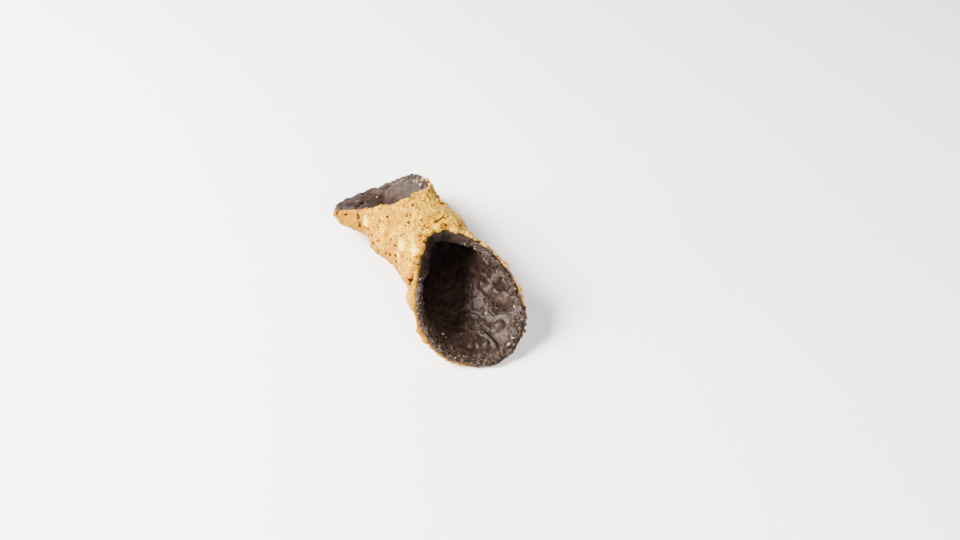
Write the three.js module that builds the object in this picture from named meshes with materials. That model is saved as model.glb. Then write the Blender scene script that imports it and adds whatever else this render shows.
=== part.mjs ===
import * as THREE from 'three';

// A large cannoli shell: an oval of dough rolled round a tube so that its two sides overlap,
// fried until it blisters, then coated inside and over both rims with dark chocolate.
// Millimetres, +Z up. The roll lies along Y with its wider mouth towards -Y, and rests on the
// two long tongues under its mouths. The origin is under the middle of the shell's box.
//
// Round the roll, angle 0 is the bottom, +90 is towards +X and 180 is the top. Along the roll,
// distances count from the waist, positive towards the front mouth.

// The tube at its waist.
const WAIST_RADIUS = 18.1;    // outside of one layer of dough
const WAIST_OVAL = -0.04;     // share by which the section is longer along OVAL_AT
const OVAL_AT = 58;
const WALL = 2.5;             // one fried layer
const COAT = 1.3;             // chocolate on the inside
const GAP = 0.3;              // between the coat and the dough
const LIP = 1.4;              // chocolate over the rim, measured along the roll
const RIM_ROUND = 0.9;        // how far the rim's outer corner is rounded off
const BARE_RIM = 0.9;         // dough left bare outside the lip

// Where the oval of dough ends: mean reach from the waist, the long tongue below, then how
// oval and how cornered the edge is. Then the flare: how much the tube opens over RUN.
const RUN = 57.4;
const FRONT = {
  side: 1, reach: 41.3, tongue: 27.0, tongueAt: 3, oval: -2.0, ovalAt: -41, corner: 0.8, cornerAt: 8,
  flare: 11.2, lean: 0.6, leanAt: 31, pinch: -1.6, pinchAt: 10, power: 1.56, rise: 4.9, drift: 2.0,
};
const BACK = {
  side: -1, reach: 47.2, tongue: 31.9, tongueAt: 7, oval: -1.8, ovalAt: -56, corner: 1.4, cornerAt: -61,
  flare: 8.3, lean: -2.7, leanAt: 1, pinch: -1.7, pinchAt: -20, power: 2.24, rise: -0.1, drift: -2.3,
};
const BEND_SIDE = -1.3;       // the axis bows sideways and up by this at RUN
const BEND_UP = 0.9;
const LIE = 0.94;             // degrees by which the roll is tipped to lie on both tongues
const RIM_BEAD = 1.3;         // the last of the flare thickens by this
const BEAD_RUN = 6;

// The overlap: the outer side ends in a free edge down the left flank.
const STEP = 1.7;             // height of the free edge
const STEP_OUT = 0.1;         // share of it that stands out of the round of the roll
const SINK = 60;              // degrees over which the dough below the edge comes back out
const EDGE_AT = -78;          // angle of the free edge at the waist
const EDGE_FRONT = -43;       // how far it wanders round by the front and back rims
const EDGE_BACK = -20;
const OVERLAP = 78;           // degrees of double dough behind the free edge
const FADE = 55;              // degrees over which the hidden edge fades out

// Broad swellings of the dough: height, angle, width in degrees, place and length along.
const SWELLS = [
  { height: 3.5, at: -65, wide: 26, along: -46, long: 11 },   // curled corner of the back mouth
  { height: 3.1, at: 115, wide: 28, along: 0, long: 11 },     // bulge on the right flank
];

// Blisters of the fried dough and of the coat inside.
const BLISTERS = { count: 150, small: 3.2, large: 8.0, height: 1.5, seed: 3 };
const BUBBLES = { count: 110, small: 2.8, large: 6.5, height: 1.5, seed: 11 };

const REST = 0.7;             // the tongues are flattened by this where they rest

// The mesh: columns round the roll and lines along it, from the waist to each mouth.
const COLUMNS = 64;
const DOUGH_LINES = 13;
const COAT_LINES = { front: 13, back: 7 };
const HIDDEN_LINES = 6;

const turn = (degrees) => degrees * Math.PI / 180;
const bell = (t) => Math.exp(-t * t);
const dome = (t) => (t < 1 ? (1 - t * t) ** 2 : 0);
const smooth = (t) => { const c = Math.min(1, Math.max(0, t)); return c * c * (3 - 2 * c); };
const wrapped = (degrees) => ((degrees % 360) + 540) % 360 - 180;
const chance = (i, seed) => { const v = Math.sin(i * 12.9898 + seed * 78.233) * 43758.5453; return v - Math.floor(v); };

/** Small unevenness of a rim, repeated round it. */
function raggedness(angle, mouth) {
  const a = turn(angle);
  return 0.45 * Math.sin(7 * a + mouth.side) + 0.3 * Math.sin(12 * a + 2 * mouth.side)
    + 0.25 * Math.sin(19 * a + 0.7);
}

/** Distance from the waist to the edge of the coated rim in one direction round the roll. */
function reach(mouth, angle) {
  return mouth.reach + mouth.tongue * Math.cos(turn(angle - mouth.tongueAt))
    + mouth.oval * Math.cos(2 * turn(angle - mouth.ovalAt))
    + mouth.corner * Math.cos(3 * turn(angle - mouth.cornerAt)) + raggedness(angle, mouth);
}

/** Outside radius of one plain layer of dough. */
function tubeRadius(angle, along) {
  const mouth = along < 0 ? BACK : FRONT;
  const opening = mouth.flare + mouth.lean * Math.cos(turn(angle - mouth.leanAt))
    + mouth.pinch * Math.cos(2 * turn(angle - mouth.pinchAt));
  let radius = WAIST_RADIUS * (1 + WAIST_OVAL * Math.cos(2 * turn(angle - OVAL_AT)))
    + opening * (Math.abs(along) / RUN) ** mouth.power;
  for (const swell of SWELLS) {
    radius += swell.height * bell(wrapped(angle - swell.at) / swell.wide)
      * bell((along - swell.along) / swell.long);
  }
  return radius;
}

/** Places a point given by its angle, its distance along the roll and its radius. */
function place(angle, along, radius) {
  const mouth = along < 0 ? BACK : FRONT;
  const t = along / RUN;
  const x = (BEND_SIDE + mouth.drift) * t * t + radius * Math.sin(turn(angle));
  const z = (BEND_UP + mouth.rise) * t * t - radius * Math.cos(turn(angle));
  return new THREE.Vector3(x, -along, z).applyAxisAngle(new THREE.Vector3(1, 0, 0), turn(LIE));
}

/** Spreads round bumps over the roll by the golden angle; each is a place, size and height. */
function scatter({ count, small, large, height, seed }) {
  const bumps = [];
  for (let i = 0; i < count; i += 1) {
    const angle = wrapped(i * 137.508 + 25 * chance(i, seed));
    const share = 2 * ((i + chance(i, seed + 1)) / count) - 1;
    const along = share * 0.97 * reach(share < 0 ? BACK : FRONT, angle);
    const size = small + (large - small) * chance(i, seed + 2) ** 2;
    bumps.push({ angle, along, size, height: height * (0.35 + 0.65 * chance(i, seed + 3)) * (size / large) ** 0.5 });
  }
  return bumps;
}

/** Height of the scattered bumps at one point of a tube of about the given radius. */
function bumpHeight(bumps, angle, along, radius) {
  let height = 0;
  for (const bump of bumps) {
    const across = turn(wrapped(angle - bump.angle)) * radius;
    const apart = Math.hypot(across, along - bump.along);
    height = Math.max(height, bump.height * dome(apart / bump.size));
  }
  return height;
}

const blisters = scatter(BLISTERS);
const bubbles = scatter(BUBBLES);

/** Angle of a column. Column 0 is on the free edge; the last lies just below it. */
function columnAngle(column, share) {
  const edge = EDGE_AT + (share > 0 ? EDGE_FRONT * share ** 2.5 : EDGE_BACK * share ** 2);
  return edge - behindEdge(column);
}

/** Degrees from the free edge, going up over the roll. */
function behindEdge(column) {
  return column === COLUMNS - 1 ? 358.6 : 360 * column / (COLUMNS - 1);
}

/** How far there is double dough: 1 behind the free edge, fading out where its inner side ends. */
function doubled(column) {
  if (column === COLUMNS - 1) return 0;
  return 1 - smooth((behindEdge(column) - OVERLAP) / FADE);
}

/** Outside radius of the fried dough with its overlap, but without blisters. */
function rolledRadius(column, angle, along) {
  const behind = behindEdge(column);
  const raised = column === COLUMNS - 1 ? 0 : STEP_OUT * (1 - smooth(behind / OVERLAP));
  const sunk = (1 - STEP_OUT) * (1 - smooth((360 - behind) / SINK));
  const mouth = along < 0 ? BACK : FRONT;
  const bead = smooth(1 - (reach(mouth, angle) - Math.abs(along)) / BEAD_RUN);
  return tubeRadius(angle, along) + STEP * (raised - sunk) + RIM_BEAD * bead * (1 - doubled(column));
}

/** Outside radius of the fried dough, before the rim is rounded. */
function doughRadius(column, angle, along) {
  const radius = rolledRadius(column, angle, along);
  return radius + bumpHeight(blisters, angle, along, radius);
}

/** Inside radius of the dough. */
function boreRadius(column, angle, along) {
  return rolledRadius(column, angle, along) - WALL - STEP * doubled(column);
}

/** The surface of the coat inside the tube. */
function coatRadius(column, angle, along) {
  const radius = boreRadius(column, angle, along) - GAP - COAT;
  return radius - bumpHeight(bubbles, angle, along, radius);
}

/** Shares of the way from the waist to a mouth, from the back mouth to the front one. */
function shares(back, front) {
  const list = [];
  for (let i = -back; i <= front; i += 1) list.push(i < 0 ? i / back : i / front);
  return list;
}

const doughShares = shares(DOUGH_LINES, DOUGH_LINES);
const coatShares = shares(COAT_LINES.back, COAT_LINES.front);
const hiddenShares = shares(HIDDEN_LINES, HIDDEN_LINES);

/** Angle and distance along at a share of the way, the given length short of the mouth. */
function spot(column, share, short) {
  const angle = columnAngle(column, share);
  const mouth = share < 0 ? BACK : FRONT;
  return { angle, along: share * (reach(mouth, angle) - short) };
}

/** Lowest point of the dough before it is flattened. */
function lowest() {
  let low = 0;
  for (let column = 0; column < COLUMNS; column += 1) {
    for (const share of doughShares) {
      const { angle, along } = spot(column, share, LIP + 2.4 * RIM_ROUND);
      low = Math.min(low, place(angle, along, doughRadius(column, angle, along)).z);
    }
  }
  return low;
}

const floor = lowest() + REST;

/** One closed section of the dough: out along the outside, back along the bore. */
function doughSection(column) {
  const section = [];
  const outside = (share, short, rounded) => {
    const { angle, along } = spot(column, share, short);
    const point = place(angle, along, doughRadius(column, angle, along) - rounded);
    point.z = Math.max(point.z, floor);
    section.push(point);
  };
  const corner = (share) => [[2.4, 0], [0.9, 0.3], [0, 1]].map(([back, drop]) => [share, back, drop]);
  for (const [share, back, drop] of corner(-1).reverse()) {
    outside(share, LIP + back * RIM_ROUND, drop * RIM_ROUND);
  }
  for (const share of doughShares.slice(1, -1)) outside(share, LIP + 2.4 * RIM_ROUND, 0);
  for (const [share, back, drop] of corner(1)) outside(share, LIP + back * RIM_ROUND, drop * RIM_ROUND);
  for (const share of [...hiddenShares].reverse()) {
    const { angle, along } = spot(column, share, LIP);
    section.push(place(angle, along, boreRadius(column, angle, along)));
  }
  return section;
}

/** The coat over one rim, from the dough's outer corner round to the inside. */
function lipPoints(column, share) {
  const { angle } = spot(column, share, LIP);
  const mouth = share < 0 ? BACK : FRONT;
  const edge = reach(mouth, angle);
  const outer = doughRadius(column, angle, share * (edge - LIP)) - RIM_ROUND - BARE_RIM;
  const inner = coatRadius(column, angle, share * (edge - LIP));
  const swell = 0.35 * Math.sin(turn(angle) * 9 + 1.3) * Math.sin(turn(angle) * 4);
  const profile = [
    [outer, edge - LIP + GAP], [outer + 0.1, edge - 0.5 * LIP], [outer - 0.6, edge],
    [(outer + inner) / 2, edge + 0.2 + swell], [inner + 0.5, edge - 0.2], [inner, edge - LIP],
  ];
  return profile.map(([radius, along]) => {
    const point = place(angle, share * along, radius);
    point.z = Math.max(point.z, floor + 0.5);
    return point;
  });
}

/** One closed section of the coat: over the back rim, out along the inside, over the front rim and back. */
function coatSection(column) {
  const section = lipPoints(column, -1);
  for (const share of coatShares.slice(1, -1)) {
    const { angle, along } = spot(column, share, LIP);
    section.push(place(angle, along, coatRadius(column, angle, along)));
  }
  section.push(...lipPoints(column, 1).reverse());
  // The same order as the bore's, so that both meshes split their quads along the same diagonals.
  for (const share of [...hiddenShares].reverse()) {
    const { angle, along } = spot(column, share, LIP);
    const ends = Math.abs(share) === 1 ? GAP * share : 0;
    section.push(place(angle, along + ends, boreRadius(column, angle, along) - GAP));
  }
  return section;
}

/** Joins the sections of all columns into one closed ring. */
function ring(sectionAt) {
  const sections = [];
  for (let column = 0; column < COLUMNS; column += 1) sections.push(sectionAt(column));
  const count = sections[0].length;
  const index = [];
  for (let column = 0; column < COLUMNS; column += 1) {
    const next = (column + 1) % COLUMNS;
    for (let i = 0; i < count; i += 1) {
      const j = (i + 1) % count;
      const [a, b, c, d] = [column * count + i, column * count + j, next * count + j, next * count + i];
      index.push(a, c, b, a, d, c);
    }
  }
  const geometry = new THREE.BufferGeometry().setFromPoints(sections.flat());
  geometry.setIndex(index);
  if (volume(geometry) < 0) {
    const list = geometry.index.array;
    for (let i = 0; i < list.length; i += 3) [list[i], list[i + 1]] = [list[i + 1], list[i]];
  }
  geometry.computeVertexNormals();
  return geometry;
}

/** Signed volume of a closed mesh. */
function volume(geometry) {
  const points = geometry.attributes.position;
  const corner = (i) => new THREE.Vector3().fromBufferAttribute(points, geometry.index.getX(i));
  let total = 0;
  for (let i = 0; i < geometry.index.count; i += 3) {
    total += corner(i).dot(corner(i + 1).cross(corner(i + 2))) / 6;
  }
  return total;
}

const dough = ring(doughSection);
const coat = ring(coatSection);

// Stand the shell on the floor over the origin.
const box = new THREE.Box3();
for (const geometry of [dough, coat]) {
  geometry.computeBoundingBox();
  box.union(geometry.boundingBox);
}
const middle = box.getCenter(new THREE.Vector3());

const group = new THREE.Group();
group.position.set(-middle.x, -middle.y, -floor);

function add(name, geometry, color, roughness) {
  const mesh = new THREE.Mesh(geometry, new THREE.MeshStandardMaterial({ color, roughness, metalness: 0 }));
  mesh.name = name;
  group.add(mesh);
}
add('pastry_shell', dough, 0xd9a657, 0.75);
add('chocolate_lining', coat, 0x2e1d18, 0.4);

export default group;
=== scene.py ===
"""A large cannoli shell: fried dough rolled round a tube, lined with dark chocolate.

Lengths in the form are millimetres; meshes are handed to Blender in metres. Round the roll,
angle 0 is the bottom, +90 is towards +X and 180 is the top. Along the roll, distances count
from the waist, positive towards the front mouth, which faces -Y.
"""

from __future__ import annotations

import logging
import math
from collections.abc import Sequence
from dataclasses import dataclass, field, replace
from enum import Enum
from typing import ClassVar

import bpy
import numpy as np
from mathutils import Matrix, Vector

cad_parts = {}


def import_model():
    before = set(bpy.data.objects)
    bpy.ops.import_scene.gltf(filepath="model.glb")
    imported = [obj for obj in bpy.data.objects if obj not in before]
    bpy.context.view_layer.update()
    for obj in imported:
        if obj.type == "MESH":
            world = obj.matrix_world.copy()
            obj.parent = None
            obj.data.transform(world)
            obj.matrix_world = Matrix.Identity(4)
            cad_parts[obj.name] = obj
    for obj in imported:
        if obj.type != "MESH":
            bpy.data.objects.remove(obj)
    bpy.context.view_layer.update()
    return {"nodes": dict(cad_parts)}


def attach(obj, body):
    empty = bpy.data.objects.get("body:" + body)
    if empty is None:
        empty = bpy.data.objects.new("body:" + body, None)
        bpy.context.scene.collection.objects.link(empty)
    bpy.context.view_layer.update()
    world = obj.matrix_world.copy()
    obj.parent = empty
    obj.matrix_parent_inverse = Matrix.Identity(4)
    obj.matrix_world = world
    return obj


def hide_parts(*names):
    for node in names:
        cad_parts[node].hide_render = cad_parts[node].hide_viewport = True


log = logging.getLogger("cannoli")

Array = np.ndarray
Color = tuple[float, float, float]
Place = tuple[float, float, float]
Route = list[tuple[float, float]]

MM = 0.001  # metres
TINY = 1e-12  # added to a length, so that it can divide
TURN = 360.0  # degrees
CHANCE_STEPS = (12.9898, 78.233)
CHANCE_SPREAD = 43758.5453


# ---------------------------------------------------------------- numbers and noise


def smooth(t: Array) -> Array:
    """Eases a value from 0 to 1 between 0 and 1."""
    c = np.clip(t, 0.0, 1.0)
    return c * c * (3.0 - 2.0 * c)


def eased(value: Array, start: float, end: float) -> Array:
    """Eases from 0 at start to 1 at end, which may be the lower of the two."""
    return smooth((value - start) / (end - start))


def bell(t: Array) -> Array:
    """A bell curve: 1 at 0, falling to about a third at 1 and -1."""
    return np.exp(-(t**2))


def dome(t: Array) -> Array:
    """Height of a round bump at a share t of its radius."""
    return np.where(t < 1.0, (1.0 - np.minimum(t, 1.0) ** 2) ** 2, 0.0)


def wrapped(degrees: Array) -> Array:
    """Brings an angle into -180 to 180 degrees."""
    return (degrees + 180.0) % 360.0 - 180.0


def wave(size: float, waves: int, angle: Array, greatest_at: float) -> Array:
    """A cosine with a number of waves round the roll and one crest at a given angle."""
    return size * np.cos(waves * np.radians(angle - greatest_at))


def chance(i: float, seed: float) -> float:
    """A fixed draw between 0 and 1 for an index and a seed."""
    value = math.sin(i * CHANCE_STEPS[0] + seed * CHANCE_STEPS[1]) * CHANCE_SPREAD
    return value - math.floor(value)


def warped(seed: int, points: Array, size: float) -> Array:
    """Three noises side by side, to push points about with."""
    return np.stack([Noise(seed + k).smooth_noise(points, size) for k in range(3)], axis=-1)


@dataclass(frozen=True)
class Noise:
    """Seeded noise over points in space.

    Attributes:
        seed: Chooses the pattern.
        entries: Length of the random tables that the lattice draws from.
        primes: Mix the three whole numbers of a lattice corner.
        seed_prime: Mixes in the seed.
        stir_prime: Stirs the mixture once more.
        gain: Brings smooth noise to about -1 to 1.
        layer_seed_step: Keeps the patterns of two layers apart.
        layer_sum: What a sum of layers is divided by.
        cell_seed_step: Keeps cells apart from smooth noise of the same seed.
    """

    seed: int
    entries: ClassVar[int] = 256
    primes: ClassVar[tuple[int, int, int]] = (73856093, 19349663, 83492791)
    seed_prime: ClassVar[int] = 2654435
    stir_prime: ClassVar[int] = 1274126177
    gain: ClassVar[float] = 1.6
    layer_seed_step: ClassVar[int] = 17
    layer_sum: ClassVar[float] = 1.5
    cell_seed_step: ClassVar[int] = 5

    def _table(self) -> Array:
        """Unit vectors that the lattice corners draw from.

        Returns:
            One unit vector a row.
        """
        rng = np.random.default_rng(self.seed)
        v = rng.normal(size=(self.entries, 3))
        return v / np.linalg.norm(v, axis=1, keepdims=True)

    def _hash(self, cell: Array) -> Array:
        """Index into a table of random entries for each lattice corner.

        Args:
            cell: N by 3 whole numbers.

        Returns:
            N indices.
        """
        h = self.seed * self.seed_prime
        for axis, prime in enumerate(self.primes):
            h = h ^ cell[:, axis] * prime
        h = (h ^ (h >> 13)) * self.stir_prime
        return ((h ^ (h >> 16)) & (self.entries - 1)).astype(np.int64)

    def smooth_noise(self, points: Array, size: float) -> Array:
        """Gradient noise.

        Args:
            points: N by 3 positions.
            size: Distance between features, in the unit of the points.

        Returns:
            N values from about -1 to 1.
        """
        p = points.reshape(-1, 3) / size
        base = np.floor(p).astype(np.int64)
        f = p - base
        fade = f * f * f * (f * (f * 6 - 15) + 10)
        table = self._table()
        total = np.zeros(len(p))
        for corner in np.ndindex(2, 2, 2):
            c = np.array(corner)
            slope = table[self._hash(base + c)]
            weight = np.prod(np.where(c == 1, fade, 1 - fade), axis=1)
            total += weight * ((f - c) * slope).sum(axis=1)
        return (total * self.gain).reshape(points.shape[:-1])

    def layers(self, points: Array, size: float, count: int = 3) -> Array:
        """Sums noise at halving sizes, the finest weakest.

        Args:
            points: Positions, with three values last.
            size: Distance between the largest features.
            count: Number of sizes.

        Returns:
            Values from about -1 to 1, one a point.
        """
        total = np.zeros(points.shape[:-1])
        for k in range(count):
            layer = Noise(self.seed + self.layer_seed_step * k)
            total += layer.smooth_noise(points, size / 2**k) / 2**k
        return total / self.layer_sum

    def cells(self, points: Array, size: float) -> tuple[Array, Array, Array]:
        """Cell noise.

        Args:
            points: Positions, with three values last.
            size: Mean distance between cells.

        Returns:
            Distance to the nearest cell, to the second nearest, and a draw from 0 to 1 for it.
        """
        p = points.reshape(-1, 3) / size
        base = np.floor(p).astype(np.int64)
        rng = np.random.default_rng(self.seed + self.cell_seed_step)
        offsets = rng.uniform(size=(self.entries, 3))
        draws = rng.uniform(size=self.entries)
        near = np.full(len(p), np.inf)
        second = np.full(len(p), np.inf)
        label = np.zeros(len(p))
        for step in np.ndindex(3, 3, 3):
            cell = base + (np.array(step) - 1)
            h = self._hash(cell)
            d = np.linalg.norm(cell + offsets[h] - p, axis=1)
            closer = d < near
            second = np.where(closer, near, np.minimum(second, d))
            label = np.where(closer, draws[h], label)
            near = np.minimum(near, d)
        shape = points.shape[:-1]
        return near.reshape(shape), second.reshape(shape), label.reshape(shape)


# ---------------------------------------------------------------- the form of the roll


@dataclass(frozen=True)
class Mouth:
    """One mouth: how far the dough reaches round it and how it flares.

    Sizes are millimetres, and each place that a wave is greatest at is an angle.

    Attributes:
        side: 1 at the front, -1 at the back.
        reach: Mean distance from the waist to the rim.
        tongue: Wave of the reach with one crest round the roll.
        oval: Wave of the reach with two crests.
        corner: Wave of the reach with three crests.
        flare: Mean growth of the radius by the end of the run.
        lean: Wave of the flare with one crest.
        pinch: Wave of the flare with two crests.
        power: How late the flare comes.
        rise: How far the axis bows up, beyond what both ends share.
        drift: How far the axis bows sideways, beyond what both ends share.
    """

    side: int
    reach: float
    tongue: float
    tongue_at: float
    oval: float
    oval_at: float
    corner: float
    corner_at: float
    flare: float
    lean: float
    lean_at: float
    pinch: float
    pinch_at: float
    power: float
    rise: float
    drift: float

    def edge(self, angle: Array) -> Array:
        """Distance from the waist to the coated rim.

        Args:
            angle: Angles round the roll.

        Returns:
            Distances in millimetres, above 0 at both mouths.
        """
        a = np.radians(angle)
        ragged = (
            0.45 * np.sin(7 * a + self.side)
            + 0.3 * np.sin(12 * a + 2 * self.side)
            + 0.25 * np.sin(19 * a + 0.7)
        )
        return (
            self.reach
            + wave(self.tongue, 1, angle, self.tongue_at)
            + wave(self.oval, 2, angle, self.oval_at)
            + wave(self.corner, 3, angle, self.corner_at)
            + ragged
        )

    def opening(self, angle: Array) -> Array:
        """How much the flare adds to the radius by the end of its run."""
        waves = wave(self.lean, 1, angle, self.lean_at) + wave(self.pinch, 2, angle, self.pinch_at)
        return self.flare + waves


@dataclass(frozen=True)
class Swell:
    """A broad soft rise of the tube: its height, place, and width in degrees and in millimetres."""

    height: float
    angle: float
    width: float
    along: float
    length: float

    def rise(self, angle: Array, along: Array) -> Array:
        """Height at each point.

        Args:
            angle: Angle at each point.
            along: Distance along the roll there.

        Returns:
            Heights in millimetres.
        """
        round_share = wrapped(angle - self.angle) / self.width
        long_share = (along - self.along) / self.length
        return self.height * np.exp(-(round_share**2) - long_share**2)


@dataclass(frozen=True)
class Bump:
    """A round or oval raised or sunk place on the roll.

    Attributes:
        angle: Where it is round the roll.
        along: Where it is along the roll.
        across: Half its width round the roll.
        length: Half its length along the roll.
        height: Height or depth at its middle.
        turn: Degrees by which the oval is turned on the surface.
    """

    angle: float
    along: float
    across: float
    length: float
    height: float
    turn: float = 0.0

    def grown(self, across: float, length: float) -> "Bump":
        """The same bump with its width and length multiplied."""
        return replace(self, across=self.across * across, length=self.length * length)


@dataclass(frozen=True)
class Band:
    """A soft band of angles, drawn on the roll for its colour.

    Attributes:
        at: Its middle.
        width: Degrees from there to where it has fallen to about a third.
    """

    at: float
    width: float

    def share(self, angle: Array) -> Array:
        """1 in the middle of the band, falling to 0 outside it."""
        return bell(wrapped(angle - self.at) / self.width)


FRONT_MOUTH = Mouth(
    side=1, reach=41.3, tongue=27.0, tongue_at=3, oval=-2.0, oval_at=-41, corner=0.8, corner_at=8,
    flare=11.2, lean=0.6, lean_at=31, pinch=-1.6, pinch_at=10, power=1.56, rise=4.9, drift=2.0,
)
BACK_MOUTH = Mouth(
    side=-1, reach=47.2, tongue=31.9, tongue_at=7, oval=-1.8, oval_at=-56, corner=1.4, corner_at=-61,
    flare=8.3, lean=-2.7, lean_at=1, pinch=-1.7, pinch_at=-20, power=2.24, rise=-0.1, drift=-2.3,
)


@dataclass(frozen=True)
class RollForm:
    """The named sizes of the rolled tube: those of its solids, with sink_loss added.

    Attributes:
        waist_radius: Outside of one layer of dough.
        waist_oval: Share by which the section is longer along oval_at.
        wall: Thickness of one fried layer.
        coat: Thickness of the chocolate on the inside.
        gap: Distance between the coat and the dough.
        lip: Chocolate over the rim, measured along the roll.
        rim_round: How far the rim's outer corner is rounded off.
        bare_rim: Dough left bare outside the lip.
        run: Distance from the waist at which the flare and the bend have their full size.
        bend_side: How far the axis bows sideways at the run.
        bend_up: How far it bows up there.
        lie: Degrees by which the roll is tipped to lie on both tongues.
        rim_bead: Thickening of the last of the flare.
        bead_run: Distance over which that comes in.
        step: Height of the free edge.
        step_out: Share of it that stands out of the round of the roll.
        sink: Degrees over which the dough below the edge comes back out.
        sink_loss: Share of the sinking that is lost towards the front.
        sink_fades: Distances along the roll between which it is lost.
        edge_at: Angle of the free edge at the waist.
        edge_front: How far it wanders round by the front rim.
        edge_back: How far it wanders round by the back rim.
        overlap: Degrees of double dough behind the free edge.
        fade: Degrees over which the hidden edge fades out.
        flap_until: Degrees behind the free edge up to which a column belongs to the flap.
        stand: Shift that sets the roll on the floor, with its box over the middle.
        front: The front mouth.
        back: The back mouth.
        swells: Broad rises of the tube.
    """

    waist_radius: float = 18.1
    waist_oval: float = -0.04
    oval_at: float = 58.0
    wall: float = 2.5
    coat: float = 1.3
    gap: float = 0.3
    lip: float = 1.4
    rim_round: float = 0.9
    bare_rim: float = 0.9
    run: float = 57.4
    bend_side: float = -1.3
    bend_up: float = 0.9
    lie: float = 0.94
    rim_bead: float = 1.3
    bead_run: float = 6.0
    step: float = 1.7
    step_out: float = 0.1
    sink: float = 60.0
    sink_loss: float = 0.6
    sink_fades: tuple[float, float] = (22.0, 36.0)
    edge_at: float = -78.0
    edge_front: float = -43.0
    edge_back: float = -20.0
    overlap: float = 78.0
    fade: float = 55.0
    flap_until: float = 250.0
    stand: tuple[float, float, float] = (0.1445, -5.3157, 24.5333)
    front: Mouth = FRONT_MOUTH
    back: Mouth = BACK_MOUTH
    swells: tuple[Swell, ...] = (
        Swell(height=3.5, angle=-65.0, width=26.0, along=-46.0, length=11.0),
        Swell(height=3.1, angle=115.0, width=28.0, along=0.0, length=11.0),
    )

    def edge(self, angle: Array, share: Array) -> Array:
        """Distance to the coated rim on the side that share points to."""
        return np.where(share < 0, self.back.edge(angle), self.front.edge(angle))

    def edge_angle(self, share: Array) -> Array:
        """Angle of the free edge of the overlap.

        Args:
            share: Share of the way to a mouth, -1 at the back.

        Returns:
            Angles in degrees.
        """
        forward = self.edge_front * np.maximum(share, 0) ** 2.5
        backward = self.edge_back * np.minimum(share, 0) ** 2
        return self.edge_at + forward + backward

    def doubled(self, behind: Array) -> Array:
        """How far there is double dough, by degrees behind the free edge."""
        return 1 - smooth((behind - self.overlap) / self.fade)

    def on_flap(self, behind: Array) -> Array:
        """1 on the flap's columns, 0 on the dough that comes out from under its edge."""
        return np.where(behind < self.flap_until, 1.0, 0.0)

    def from_free_edge(self, behind: Array) -> Array:
        """Degrees to the free edge, either way round."""
        return np.minimum(behind, TURN - behind)

    def tube_radius(self, angle: Array, along: Array) -> Array:
        """Outside radius of one plain layer of dough.

        Args:
            angle: Angle at each point.
            along: Distance along the roll there.

        Returns:
            Radius in millimetres.
        """
        reach = np.abs(along) / self.run
        front_part = self.front.opening(angle) * reach**self.front.power
        back_part = self.back.opening(angle) * reach**self.back.power
        radius = self.waist_radius * (1 + wave(self.waist_oval, 2, angle, self.oval_at))
        radius = radius + np.where(along < 0, back_part, front_part)
        for swell in self.swells:
            radius = radius + swell.rise(angle, along)
        return radius

    def rolled_radius(self, behind: Array, level: Array, angle: Array, along: Array) -> Array:
        """Outside radius with the overlap.

        Args:
            behind: Degrees behind the free edge, going up over the roll.
            level: 0 on the dough under the free edge, 1 on the flap.
            angle: Angle round the roll.
            along: Distance along the roll.

        Returns:
            Radius in millimetres.
        """
        raised = level * self.step_out * (1 - smooth(behind / self.overlap))
        sunk = (1 - self.step_out) * (1 - smooth((TURN - behind) / self.sink)) * (1 - level)
        sunk = sunk * (1 - self.sink_loss * eased(along, *self.sink_fades))
        bead = smooth(1 - (self.edge(angle, along) - np.abs(along)) / self.bead_run)
        single = 1 - self.doubled(behind) * level
        return self.tube_radius(angle, along) + self.step * (raised - sunk) + self.rim_bead * bead * single

    def place(self, angle: Array, along: Array, radius: Array) -> Array:
        """Positions over the floor, in millimetres, with three values last.

        Args:
            angle: Angle at each point.
            along: Distance along the roll there.
            radius: Distance from the axis there.

        Returns:
            X, Y and Z.
        """
        t = along / self.run
        drift = np.where(along < 0, self.back.drift, self.front.drift)
        rise = np.where(along < 0, self.back.rise, self.front.rise)
        x = (self.bend_side + drift) * t * t + radius * np.sin(np.radians(angle))
        z = (self.bend_up + rise) * t * t - radius * np.cos(np.radians(angle))
        y = -along
        c, s = math.cos(math.radians(self.lie)), math.sin(math.radians(self.lie))
        dx, dy, dz = self.stand
        return np.stack([x + dx, y * c - z * s + dy, y * s + z * c + dz], axis=-1)


@dataclass(frozen=True)
class Scatter:
    """Round bumps spread over the roll by the golden angle.

    Attributes:
        count: Number of bumps.
        small: Least radius.
        large: Largest radius.
        height: Height of the largest.
        seed: Chooses the draw.
        golden_angle: Degrees from one bump to the next.
        stray: Greatest number of degrees by which one strays.
        reach: Share of the way to the rims that they fill.
        least_tall: Least height, as a share of what a bump's size gives it.
    """

    count: int
    small: float
    large: float
    height: float
    seed: int
    golden_angle: ClassVar[float] = 137.508
    stray: ClassVar[float] = 25.0
    reach: ClassVar[float] = 0.97
    least_tall: ClassVar[float] = 0.35

    def bumps(self, form: RollForm) -> list[Bump]:
        """Spreads the bumps over a roll.

        Args:
            form: Sizes of the roll.

        Returns:
            The bumps.
        """
        bumps = []
        for i in range(self.count):
            angle = float(wrapped(np.array(i * self.golden_angle + self.stray * chance(i, self.seed))))
            share = 2 * ((i + chance(i, self.seed + 1)) / self.count) - 1
            along = share * self.reach * float(form.edge(np.array(angle), np.array(share)))
            size = self.small + (self.large - self.small) * chance(i, self.seed + 2) ** 2
            tall = self.least_tall + (1 - self.least_tall) * chance(i, self.seed + 3)
            bumps.append(Bump(angle, along, size, size, self.height * tall * math.sqrt(size / self.large)))
        return bumps


class Blend(Enum):
    """How bumps that meet are joined."""

    HIGHEST = "highest"
    SUM = "sum"


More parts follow.
